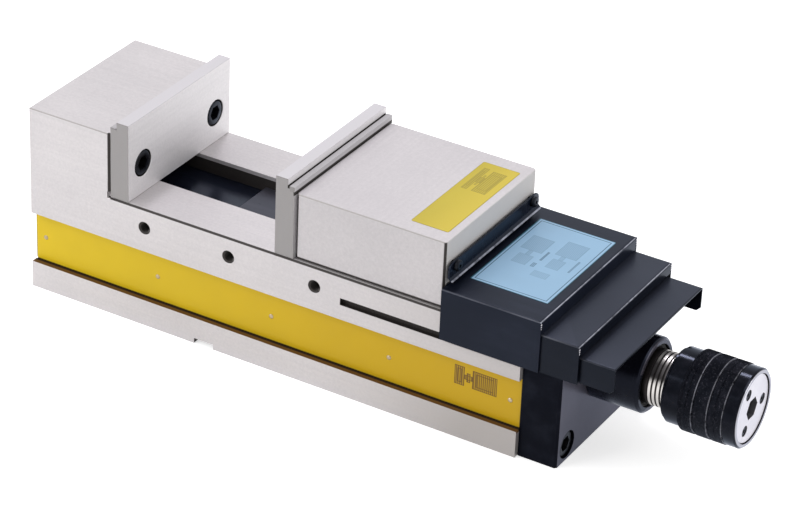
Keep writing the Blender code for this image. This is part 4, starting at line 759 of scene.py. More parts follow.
class Finishes:
    """The finishes of the vise, made once."""

    def __init__(self) -> None:
        """Make every material."""
        bed, width = (-0.001, 0.401), (-0.0655, 0.0655)
        step_shade = (0.50, 0.485, 0.50)
        # Painted shade: a strong darkening towards +X, on the fixed block's near top edge and beside the side
        # plate's foot; a painted reflection of the yellow plate on the flange's top.
        self.ground_x = GroundSteel(shadows=casting_shadows(), painted_gradient=0.70, painted_light_and_shade=(
            (box((-0.001, 0.0690), (-0.0655, -0.0644), (0.1445, 0.1460)), (0.42, 0.40, 0.39)),
            (box(bed, (-0.0648, -0.0575), (0.0190, 0.0212)), (0.15, 0.075, 0.020)),
            (box(bed, (-0.0614, -0.0570), (0.0190, 0.0222)), (0.028, 0.015, 0.007)))).make()
        # Painted shade on the moving jaw's near top edge and on its rear end face.
        self.ground_y = GroundSteel(
            name="ground_across", colour=(0.615, 0.587, 0.597), shade=(0.495, 0.472, 0.485), roughness=0.50,
            metallic=0.46, grain=Grain.ALONG_Y, shadows=jaw_shadows(), painted_light_and_shade=(
                (box((0.221, 0.3385), (-0.0625, -0.0615), (0.1444, 0.1456)), (0.45, 0.43, 0.42)),
                (box((0.3374, 0.3385), (-0.0625, 0.0625), (0.0940, 0.1456)), (0.56, 0.545, 0.54)))).make()
        # Painted shade on the plates' tops, on their steps and on their near sides.
        self.jaw_plate = GroundSteel(
            name="jaw_plate_steel", colour=(0.86, 0.835, 0.85), shade=(0.72, 0.70, 0.715), roughness=0.50,
            metallic=0.34, grain=Grain.ALONG_Y, shadows=plate_shadows(), painted_light_and_shade=(
                (box((0.068, 0.222), width, (0.1549, 0.1570)), (0.64, 0.62, 0.645)),
                (box((0.068, 0.0742), width, (0.1490, 0.1530)), step_shade),
                (box((0.2164, 0.2220), width, (0.1465, 0.1530)), step_shade),
                (box((0.068, 0.222), (-0.0645, -0.0637), (0.094, 0.157)), (0.35, 0.335, 0.335)))).make()
        self.turned = TurnedSteel().make()
        # The scale gets a painted dark reflection band and painted shade in its grooves.
        self.scale = TurnedSteel(name="scale_steel", colour=(0.74, 0.71, 0.69), roughness=0.26, pitch=MARK_PITCH,
                                 depth=0.0, band=(0.0655, 0.0735), painted_light_and_shade=scale_groove_shade()).make()
        self.rivet = TurnedSteel(name="rivet_steel", colour=(0.46, 0.37, 0.24), roughness=0.26,
                                 depth=0.0).make()
        # Painted shade: the cap is black deeper than its face, in the socket and the screw recesses.
        self.cap_oxide = BlackOxide(
            name="cap_oxide", colour=(0.72, 0.70, 0.745), rubbed=(0.80, 0.78, 0.82), roughness=0.42,
            specular=0.5, painted_light_and_shade=((box((0.5307, 0.54008), (-0.03, 0.03), (0.02, 0.09)), (0.006, 0.006, 0.008)),)
        ).make()
        self.screw = BlackOxide(name="screw_oxide", colour=(0.005, 0.005, 0.006), rubbed=(0.028, 0.027, 0.027),
                                roughness=0.30, specular=0.25).make()
        # Painted reflection: the end block's +X face is painted lighter, as it mirrors the floor.
        self.end_face = BlackOxide(
            name="end_oxide", colour=(0.0030, 0.0032, 0.0060), rubbed=(0.010, 0.011, 0.017), roughness=0.28,
            specular=0.06,
            painted_light_and_shade=((box((0.4296, 0.4300), (-0.0600, 0.0600), (0.0, 0.0930)), (0.105, 0.100, 0.125)),)).make()
        # Painted light: the upper and lower parts of the nut's front face are painted lighter, and the near side is
        # left dark as shade.
        self.nut = BlackOxide(name="nut_oxide", roughness=0.24, painted_light_and_shade=(
            (box((0.4680, 0.4690), (-0.03, 0.03), (0.068, 0.09)), (0.060, 0.055, 0.068)),
            (box((0.4672, 0.4690), (-0.03, 0.03), (0.02, 0.035)), (0.16, 0.155, 0.175)))).make()
        # Painted highlight along the guard's flared lower edge.
        self.guard = CoatedSheet(
            name="guard_coat", colour=(0.004, 0.006, 0.013), dust=(0.008, 0.012, 0.022), roughness=0.26,
            specular=0.22, bends=(box((0.3425, 0.3450), (-0.0620, 0.0620), (0.1150, 0.1172)),)).make()
        self.gloss = CoatedSheet(name="gloss_sheet", colour=(0.006, 0.008, 0.017), dust=(0.018, 0.020, 0.032),
                                 roughness=0.18, specular=0.45).make()
        self.shield = CoatedSheet(name="shield_sheet", colour=(0.045, 0.044, 0.056),
                                  dust=(0.085, 0.083, 0.104), roughness=0.26, specular=0.3).make()
        self.iron = MachinedIron().make()
        self.rubber = Rubber().make()
        self.brass = Brass().make()


# Shaping


class Stock:
    """A piece of raw stock: one bmesh that operators shape, with the tools that are cut out of it."""

    def __init__(self) -> None:
        """Start with nothing."""
        self.work = bmesh.new()
        self.tools: list[tuple["Stock", str]] = []

    def cut(self, low: Triple, high: Triple) -> "Stock":
        """Cut out a box between two corners.

        Args:
            low: the lowest corner.
            high: the highest corner.

        Returns:
            This stock.
        """
        tool = Stock()
        made = bmesh.ops.create_cube(tool.work, size=1)["verts"]
        bmesh.ops.scale(tool.work, vec=[b - a for a, b in zip(low, high)], verts=made)
        bmesh.ops.translate(tool.work, vec=[(a + b) / 2 for a, b in zip(low, high)], verts=made)
        return self.minus(tool)

    def cut_side(self, hand: int, x: Pair, y: Pair, z: Pair) -> "Stock":
        """Cut a box out of one side, X from the fixed-jaw end and Y outwards from the middle."""
        across = sorted((hand * y[0], hand * y[1]))
        return self.cut((at(x[0]), across[0], z[0]), (at(x[1]), across[1], z[1]))

    def outline(self, points: Sequence[Pair], along: str, start: float, end: float) -> "Stock":
        """Add a flat outline with a thickness.

        Args:
            points: Y and Z for a slab along X, X and Z along Y, and X and Y along Z.
            along: the direction of the thickness.
            start: where it starts.
            end: where it ends.

        Returns:
            This stock.
        """
        hole = "XYZ".index(along)
        face = self.work.faces.new([self.work.verts.new((*pair[:hole], start, *pair[hole:])) for pair in points])
        grown = bmesh.ops.extrude_face_region(self.work, geom=[face])["geom"]
        verts = [item for item in grown if isinstance(item, bmesh.types.BMVert)]
        bmesh.ops.translate(self.work, vec=[(end - start) * (index == hole) for index in range(3)], verts=verts)
        return self

    def turn(self, profile: Sequence[Pair], centre: Triple = AXIS, axis: Triple = (1, 0, 0), steps: int = 96,
             ring: bool = False) -> "Stock":
        """Add a turned form.

        Args:
            profile: place along the axis and radius of each point.
            centre: the point of the axis where the place is 0.
            axis: the axis of turning.
            steps: how many facets it has.
            ring: whether the profile closes on itself off the axis.

        Returns:
            This stock.
        """
        made = [self.work.verts.new((radius, 0, place)) for place, radius in profile]
        edges = [self.work.edges.new(pair) for pair in zip(made[:-1], made[1:])]
        if ring:
            edges.append(self.work.edges.new((made[-1], made[0])))
        before = {vert for vert in self.work.verts if vert not in set(made)}
        bmesh.ops.spin(self.work, geom=made + edges, cent=(0, 0, 0), axis=(0, 0, 1), dvec=(0, 0, 0),
                       angle=math.tau, steps=steps, use_merge=True, use_duplicate=False)
        fresh = [vert for vert in self.work.verts if vert not in before]
        bmesh.ops.remove_doubles(self.work, verts=fresh, dist=1e-7)
        fresh = [vert for vert in self.work.verts if vert not in before]
        bmesh.ops.transform(self.work, matrix=aim(centre, axis), verts=fresh)
        return self

    def socket(self, across: float, mouth: Triple, axis: Triple, depth: float) -> "Stock":
        """Cut a hexagon socket.

        Args:
            across: the distance between two flats.
            mouth: the middle of the socket's mouth.
            axis: the direction out of the face.
            depth: how deep the socket is.

        Returns:
            This stock.
        """
        tool, radius = Stock(), across / math.sqrt(3)
        made = bmesh.ops.create_cone(tool.work, cap_ends=True, segments=6, radius1=radius, radius2=radius,
                                     depth=depth + SPARE)["verts"]
        bmesh.ops.translate(tool.work, verts=made, vec=(0, 0, (SPARE - depth) / 2))
        bmesh.ops.transform(tool.work, matrix=aim(mouth, axis), verts=made)
        return self.minus(tool)

    def bore(self, radius: float, mouth: Triple, depth: float, axis: Triple, lip: float = 0.0,
             steps: int = 48) -> "Stock":
        """Cut a round hole with a flat end.

        Args:
            radius: the hole's radius.
            mouth: the middle of the hole's mouth.
            depth: how deep it is.
            axis: the direction out of the face.
            lip: how much wider the countersunk mouth is.
            steps: how many facets it has.

        Returns:
            This stock.
        """
        profile = [(-depth, 0.0), (-depth, radius)]
        profile += [(-lip, radius), (0.0, radius + lip), (SPARE, radius + lip)] if lip else [(SPARE, radius)]
        profile += [(SPARE, 0.0)]
        return self.minus(Stock().turn(profile, mouth, axis, steps))

    def minus(self, tool: "Stock") -> "Stock":
        """Cut another stock out of this one."""
        self.tools.append((tool, "DIFFERENCE"))
        return self

    def plus(self, tool: "Stock") -> "Stock":
        """Join another stock to this one."""
        self.tools.append((tool, "UNION"))
        return self

    def to_object(self, name: str) -> bpy.types.Object:
        """Turn the stock into an object with its tools worked in."""
        bmesh.ops.recalc_face_normals(self.work, faces=self.work.faces)
        mesh = bpy.data.meshes.new(name)
        self.work.to_mesh(mesh)
        self.work.free()
        item = bpy.data.objects.new(name, mesh)
        bpy.context.scene.collection.objects.link(item)
        helpers = []
        for tool, operation in self.tools:
            helper = tool.to_object(f"{name}_tool")
            helpers.append(helper)
            modifier = item.modifiers.new(operation.title(), "BOOLEAN")
            modifier.operation = operation
            modifier.solver = "EXACT"
            modifier.object = helper
        if helpers:
            bpy.context.view_layer.update()
            graph = bpy.context.evaluated_depsgraph_get()
            worked = bpy.data.meshes.new_from_object(item.evaluated_get(graph))
            item.modifiers.clear()
            item.data = worked
            worked.name = name
            for helper in helpers:
                bpy.data.objects.remove(helper, do_unlink=True)
        return item


@dataclass(frozen=True)
class Dress:
    """What a piece of stock becomes: its name, finish, body, record slot (which is not used) and the solids it
    stands for.
    """

    name: str
    material: bpy.types.Material
    body: Body
    slot: str
    nodes: tuple[str, ...] = ()
    edge: float = 0.0003

    def put_on(self, stock: Stock) -> None:
        """Make the object, give it its edges and finish, and hang it on its body.

        Args:
            stock: the shaped stock.
        """
        item = stock.to_object(self.name)
        item.data.materials.clear()
        item.data.materials.append(self.material)
        item.data.shade_smooth()
        item.data.set_sharp_from_angle(angle=SHARP)
        if self.edge:
            bevel = item.modifiers.new("Edges", "BEVEL")
            bevel.width, bevel.segments = self.edge, 2
            bevel.limit_method, bevel.angle_limit = "ANGLE", SHARP
            bevel.harden_normals = True
        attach(item, self.body.value)
        if self.nodes:
            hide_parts(*self.nodes)
        LOG.info("piece %s on %s", self.name, self.body.value)


def arc(centre: Pair, radius: float, start: float, end: float, steps: int = 8) -> list[Pair]:
    """Points of an arc.

    Args:
        centre: the arc's centre.
        radius: its radius.
        start: the first angle in degrees.
        end: the last angle in degrees.
        steps: how many chords it has.

    Returns:
        The points in order.
    """
    angles = [math.radians(start + (end - start) * step / steps) for step in range(steps + 1)]
    return [(centre[0] + radius * math.cos(a), centre[1] + radius * math.sin(a)) for a in angles]


def rounded(low: Pair, high: Pair, radius: float) -> list[Pair]:
    """The outline of a rectangle with round corners.

    Args:
        low: the lowest corner.
        high: the highest corner.
        radius: the corners' radius.

    Returns:
        The points in order.
    """
    points = []
    for x, y, start in ((high[0] - radius, high[1] - radius, 0), (low[0] + radius, high[1] - radius, 90),
                        (low[0] + radius, low[1] + radius, 180), (high[0] - radius, low[1] + radius, 270)):
        points += arc((x, y), radius, start, start + 90)
    return points


def helix(core: float, crest: float, pitch: float, turns: float, centre: Triple, axis: Triple,
          steps: int = 40) -> Stock:
    """A screw thread's ridge, swept once round the axis for each turn.

    Args:
        core: the radius at the ridge's foot.
        crest: the radius at its crest.
        pitch: the rise of one turn.
        turns: how many turns there are.
        centre: where the thread starts on the axis.
        axis: the direction in which it rises.
        steps: how many facets a turn has.

    Returns:
        The thread as stock.
    """
    stock = Stock()
    section = [(core, 0.05), (crest, 0.35), (crest, 0.60), (core, 0.90)]
    start = stock.work.faces.new([stock.work.verts.new((r, 0, part * pitch)) for r, part in section])
    count = int(steps * turns)
    bmesh.ops.spin(stock.work, geom=[start, *start.edges, *start.verts], cent=(0, 0, 0), axis=(0, 0, 1),
                   dvec=(0, 0, pitch / steps), angle=math.tau * count / steps, steps=count,
                   use_merge=False, use_duplicate=False)
    bmesh.ops.transform(stock.work, matrix=aim(centre, axis), verts=stock.work.verts)
    return stock


# Sub-assemblies


@dataclass
class Screw:
    """A cap screw with a hexagon socket."""

    shank: float
    head: float
    height: float
    reach: float
    socket: float
    crown: float = 0.0008

    def fit(self, finishes: Finishes, node: str, body: Body, edge: float, top: Triple,
            axis: Triple = (1, 0, 0)) -> None:
        """Make the screw that stands for a solid.

        Args:
            finishes: the finishes.
            node: the solid's name.
            body: the body that carries it.
            edge: the rounding of its edges.
            top: the middle of its top face.
            axis: the direction out of that face.
        """
        crown, end = min(self.crown, self.height * 0.25), -self.height - self.reach
        profile = [(end, 0.0), (end, self.shank * 0.85), (end + self.shank * 0.15, self.shank),
                   (-self.height, self.shank), (-self.height, self.head), (-crown, self.head),
                   (-crown * 0.3, self.head - crown * 0.4), (0.0, self.head - crown), (0.0, 0.0)]
        stock = Stock().turn(profile, top, axis, 48).socket(self.socket, top, axis, self.height * 0.55)
        Dress(f"{node}_dressed", finishes.screw, body, "black_oxide", (node,), edge).put_on(stock)


M12 = Screw(0.006, 0.0092, 0.0114, 0.020, 0.010)
M12_LONG = Screw(0.006, 0.0092, 0.0114, 0.0385, 0.010)
M8 = Screw(0.004, 0.0062, 0.0058, 0.0302, 0.006)
M5 = Screw(0.0022, 0.0040, 0.0026, 0.010, 0.0025, 0.0014)
M4 = Screw(0.0020, 0.0038, 0.0010, 0.011, 0.0025, 0.0005)
CAP_SCREW = Screw(0.0020, 0.0035, 0.0024, 0.008, 0.0025, 0.0004)


@dataclass
class Casting:
    """The vise body with its fixed jaw, ways, trough, recesses and side holes."""

    length: float = 0.400
    width: float = 0.130
    bed: float = 0.0948
    block_length: float = 0.0687
    block_height: float = 0.1451
    flange: float = 0.0205
    recess_top: float = 0.0607
    recess_depth: float = 0.0068
    relief_width: float = 0.0014
    relief_depth: float = 0.0008
    way_underside: float = 0.068
    trough: float = 0.050
    cavity: float = 0.080
    end_wall: float = 0.016
    trough_wall: float = 0.018
    rib_left: float = 0.183
    rib_length: float = 0.014
    rib_height: float = 0.018
    key_place: float = 0.1485
    key_width: float = 0.016
    key_depth: float = 0.004
    hole_height: float = 0.0795
    hole_radius: float = 0.0042
    groove_start: float = 0.2593
    groove_low: float = 0.0720
    groove_height: float = 0.0055
    ledge_top: float = 0.0802
    ledge_end: float = 0.1743

    def wedge(self, along: str, corner: Pair, leg: float, turn: Pair, start: float, end: float) -> Stock:
        """A tool that chamfers an edge.

        Args:
            along: the edge's direction.
            corner: the edge's place.
            leg: the chamfer's size.
            turn: the signs of the two outward directions.
            start: where the edge starts.
            end: where it ends.

        Returns:
            The tool.
        """
        a, b = corner
        one, two = turn
        points = [(a + one * SPARE, b + two * SPARE), (a - one * (leg + SPARE), b + two * SPARE),
                  (a + one * SPARE, b - two * (leg + SPARE))]
        return Stock().outline(points, along, start, end)

    def build(self, finishes: Finishes) -> None:
        """Make the casting and the threads in its side holes."""
        half, block, end = self.width / 2, at(self.block_length), at(self.length)
        side = [(at(0), 0.0), (end, 0.0), (end, self.bed), (block, self.bed), (block, self.block_height),
                (at(0), self.block_height)]
        stock = Stock().outline(side, "Y", -half, half)
        for hand, _ in SIDES:
            self.side_cuts(stock, hand, half)
        self.hollow(stock)
        key = self.key_width / 2
        stock.cut((at(self.key_place - key), -half - SPARE, -SPARE),
                  (at(self.key_place + key), half + SPARE, self.key_depth))
        Dress("body_casting", finishes.ground_x, Body.ROOT, "ground_steel", ("vise_body",), 0.0004).put_on(stock)
        self.threads(finishes, half)

    def side_cuts(self, stock: Stock, hand: int, half: float) -> None:
        """Cut the recess, chamfers, holes and groove of one side."""
        web, run, relief = half - self.recess_depth, (-SPARE, self.length + SPARE), self.relief_depth
        stock.cut_side(hand, run, (web, half + SPARE), (self.flange, self.recess_top))
        stock.cut_side(hand, run, (web, web + self.relief_width), (self.flange - relief, self.flange + relief))
        stock.minus(self.wedge("X", (hand * half, self.bed), 0.0015, (hand, 1), at(self.block_length - 0.002),
                               at(run[1])))
        stock.minus(self.wedge("Z", (at(self.block_length), hand * half), 0.002, (1, hand),
                               self.bed - 0.00075, self.block_height + SPARE))
        for place in SIDE_HOLES:
            stock.bore(self.hole_radius, (at(place), hand * half, self.hole_height), 0.013, (0, hand, 0), 0.0009)
        stock.cut_side(hand, (self.groove_start, run[1]), (half - 0.004, half + SPARE),
                       (self.groove_low, self.groove_low + self.groove_height))
        stock.bore(M12_HOLE, (at(self.block_length), hand * JAW_SCREW[0], JAW_SCREW[1]), 0.024, (1, 0, 0))
        for height in END_SCREW_HEIGHTS:
            stock.bore(M12_HOLE, (at(self.length), hand * END_SCREW_ACROSS, height), 0.022, (1, 0, 0))

    def hollow(self, stock: Stock) -> None:
        """Cut the cavity below the ways and the trough between them."""
        half, slot, corner = self.cavity / 2, self.trough / 2, 0.008
        end, wall, low = at(self.length + SPARE), at(self.end_wall) + corner, self.way_underside - SPARE
        plan = [(end, -half), (end, half), *arc((wall, half - corner), corner, 90, 180),
                *arc((wall, -half + corner), corner, 180, 270)]
        tool = Stock().outline(plan, "Z", -SPARE, self.way_underside)
        tool.cut((at(self.rib_left), -half - SPARE, -2 * SPARE),
                 (at(self.rib_left + self.rib_length), half + SPARE, self.rib_height))
        stock.minus(tool)
        section = [(at(self.trough_wall), self.ledge_top), (at(self.ledge_end), self.ledge_top),
                   (at(self.ledge_end), low), (end, low), (end, self.bed + SPARE),
                   (at(self.block_length) + SPARE, self.bed + SPARE), (at(self.block_length), self.bed),
                   (at(self.trough_wall), self.bed)]
        stock.minus(Stock().outline(section, "Y", -slot, slot))
        stock.cut((at(self.trough_wall) + SPARE, -slot + 0.005, low),
                  (at(self.ledge_end) + SPARE, slot - 0.005, self.ledge_top + SPARE))

    def threads(self, finishes: Finishes, half: float) -> None:
        """Make the threads of the six side holes."""
        for hand, word in SIDES:
            for number, place in enumerate(SIDE_HOLES, start=1):
                start = (at(place), hand * (half - 0.0125), self.hole_height)
                stock = helix(self.hole_radius + 0.0001, self.hole_radius - 0.00065, 0.00125, 9, start,
                              (0, hand, 0), 32)
                Dress(f"side_thread_{word}_{number}", finishes.ground_x, Body.ROOT, "ground_steel",
                      edge=0).put_on(stock)


@dataclass
class SidePlate:
    """The thin printed plate in the near recess, with its rivets."""

    left: float = 0.0003
    right: float = 0.3997
    low: float = 0.0208
    high: float = 0.0604
    face: float = -0.0593
    thickness: float = 0.0008
    rivets: tuple[float, ...] = (0.0086, 0.1057, 0.2009, 0.2962, 0.3911)
    rivet_height: float = 0.040
    rivet_radius: float = 0.0018

    def build(self, finishes: Finishes) -> None:
        """Make the plate and its rivets."""
        low, high = (at(self.left), self.low), (at(self.right), self.high)
        sketch = ((at(0.3477), 0.037), (at(0.3827), 0.054))
        paint = YellowPrint(low, high, True, name="side_plate_print", sketch=sketch).make()
        stock = Stock().outline(rounded(low, high, 0.0015), "Y", self.face, self.face + self.thickness)
        Dress("side_plate_printed", paint, Body.ROOT, "yellow_plate", ("side_plate",), 0.0001).put_on(stock)
        for number, place in enumerate(self.rivets, start=1):
            profile = [(0.0, 0.0), (0.0, self.rivet_radius)]
            profile += [(r, a) for a, r in arc((0.0, 0.0), self.rivet_radius, 0, 90, 6)][1:-1]
            profile = [(height * 0.4, radius) for height, radius in profile] + [(self.rivet_radius * 0.4, 0.0)]
            rivet = Stock().turn(profile, (at(place), self.face, self.rivet_height), (0, -1, 0), 32)
            Dress(f"plate_rivet_{number}", finishes.rivet, Body.ROOT, "yellow_plate", edge=0).put_on(rivet)


@dataclass
class JawPlates:
    """The two ground jaw plates with their stepped tops and cap screws."""

    width: float = 0.128
    thickness: float = 0.0148
    low: float = 0.0951
    top: float = 0.1553
    lip: float = 0.0096
    drop: float = 0.0050
    relief: float = 0.0010
    bore_depth: float = 0.0120

    def plate(self, finishes: Finishes, name: str, face: float, hand: int, body: Body) -> None:
        """Make one plate with its two screws.

        Args:
            finishes: the finishes.
            name: the solid that it stands for.
            face: the place of its clamping face.
            hand: the direction in which that face looks.
            body: the body that carries it.
        """
        back, lip = at(face - hand * self.thickness), at(face - hand * self.lip)
        deep, shelf, front = lip - hand * self.relief, self.top - self.drop, at(face)
        outline = [(back, self.low), (front, self.low), (front, self.top), (lip, self.top),
                   (lip, shelf - self.relief), (deep, shelf - self.relief), (deep, shelf), (back, shelf)]
        stock = Stock().outline(outline, "Y", -self.width / 2, self.width / 2)
        seat = front - hand * (self.bore_depth - 0.0003 - M12.height)
        for side, word in SIDES:
            place = (side * JAW_SCREW[0], JAW_SCREW[1])
            stock.bore(M12_SINK, (front, *place), self.bore_depth, (hand, 0, 0), 0.0003, 64)
            stock.bore(M12_HOLE, (front, *place), self.thickness + SPARE, (hand, 0, 0))
            M12.fit(finishes, f"{name.replace('_plate', '')}_screw_{word}", body, 0.0002, (seat, *place),
                    (hand, 0, 0))
        Dress(f"{name}_ground", finishes.jaw_plate, body, "ground_steel", (name,), 0.0004).put_on(stock)

    def build(self, finishes: Finishes) -> None:
        """Make both plates."""
        self.plate(finishes, "fixed_jaw_plate", 0.0838, 1, Body.ROOT)
        self.plate(finishes, "moving_jaw_plate", 0.2054, -1, Body.JAW)


@dataclass
class MovingJaw:
    """The moving jaw's block, its sticker, and the saddle and bolts below it."""

    front: float = 0.2205
    rear: float = 0.3379
    width: float = 0.1243
    low: float = 0.0951
    high: float = 0.1451
    chamfer: float = 0.002
    saddle_front: float = 0.2959
    bolts: Pair = (0.3169, 0.3309)

    def build(self, finishes: Finishes) -> None:
        """Make the block, sticker, saddle and bolts."""
        half, cut = self.width / 2, self.chamfer
        a, b = at(self.front), at(self.rear)
        plan = [(a + cut, -half), (b - cut, -half), (b, -half + cut), (b, half - cut), (b - cut, half),
                (a + cut, half), (a, half - cut), (a, -half + cut)]
        stock = Stock().outline(plan, "Z", self.low, self.high)
        for hand, _ in SIDES:
            stock.bore(M12_HOLE, (a, hand * JAW_SCREW[0], JAW_SCREW[1]), 0.024, (-1, 0, 0))
            stock.bore(0.0025, (b, hand * GUARD_SCREW[0], GUARD_SCREW[1]), 0.010, (1, 0, 0))
        for place in self.bolts:
            stock.bore(0.0043, (at(place), 0.0, self.low), 0.0123, (0, 0, -1))
        Dress("moving_jaw_block", finishes.ground_y, Body.JAW, "ground_steel", ("moving_jaw",),
              0.0005).put_on(stock)
        low, high = (at(0.3028), -0.0492), (at(0.3318), 0.0499)
        paint = YellowPrint(low, high, False, name="jaw_sticker_print", colour=(0.595, 0.470, 0.033),
                            far=(0.655, 0.510, 0.044), edge=(0.42, 0.33, 0.025), border=0.0005,
                            sketch=((at(0.3075), 0.006), (at(0.3275), 0.044)), ink=(0.36, 0.28, 0.022)).make()
        sticker = Stock().outline(rounded(low, high, 0.0015), "Z", self.high, self.high + 0.00012)
        Dress("jaw_sticker", paint, Body.JAW, "yellow_plate", edge=0).put_on(sticker)
        self.saddle(finishes)

    def saddle(self, finishes: Finishes) -> None:
        """Make the saddle that hooks under the ways, and its two bolts."""
        half = [(0.0145, 0.056), (0.0365, 0.056), (0.038, 0.0575), (0.038, 0.0677), (0.0247, 0.0677),
                (0.0247, 0.0948)]
        section = half + [(-y, z) for y, z in reversed(half)]
        section += [(-0.0145, 0.0685), (-0.0125, 0.0705), (0.0125, 0.0705), (0.0145, 0.0685)]
        stock = Stock().outline(section, "X", at(self.saddle_front), at(self.rear))
        root, end, turn = at(self.rear - 0.008), at(self.rear + 0.016), 0.006
        tongue = [(root, -0.012), *arc((end - turn, -turn), turn, -90, 0), *arc((end - turn, turn), turn, 0, 90),
                  (root, 0.012)]
        stock.plus(Stock().outline(tongue, "Z", 0.071, 0.0775))
        stock.bore(0.0053, (at(PIN_PLACE), 0.0, 0.0775), 0.0105, (0, 0, 1))
        stock.cut(*box((self.saddle_front - SPARE, self.saddle_front + 0.014), (-0.0287, 0.0287),
                       (0.0835, 0.0988)))
        for place, word in zip(self.bolts, ("front", "rear")):
            mouth = (at(place), 0.0, 0.0705)
            stock.bore(0.0066, mouth, 0.0061, (0, 0, -1))
            stock.bore(0.0043, mouth, 0.0948, (0, 0, -1))
            M8.fit(finishes, f"saddle_bolt_{word}", Body.JAW, 0.00015, mouth, (0, 0, -1))
        Dress("saddle_machined", finishes.iron, Body.JAW, "cast_iron", ("jaw_saddle",), 0.0004).put_on(stock)


@dataclass
class Shields:
    """The two flat chip shields in the trough."""

    half: float = 0.0246
    thickness: float = 0.0015

    def build(self, finishes: Finishes) -> None:
        """Make both shields."""
        for name, left, right, low, body in (
                ("lower_shield", 0.0183, 0.1740, 0.0805, Body.ROOT),
                ("upper_shield", 0.1416, 0.3096, 0.0838, Body.JAW)):
            plan = rounded((at(left), -self.half), (at(right), self.half), 0.0008)
            stock = Stock().outline(plan, "Z", low, low + self.thickness)
            paint = finishes.gloss if body is Body.ROOT else finishes.shield
            Dress(f"{name}_dressed", paint, body, "dark_sheet", (name,), 0.0002).put_on(stock)


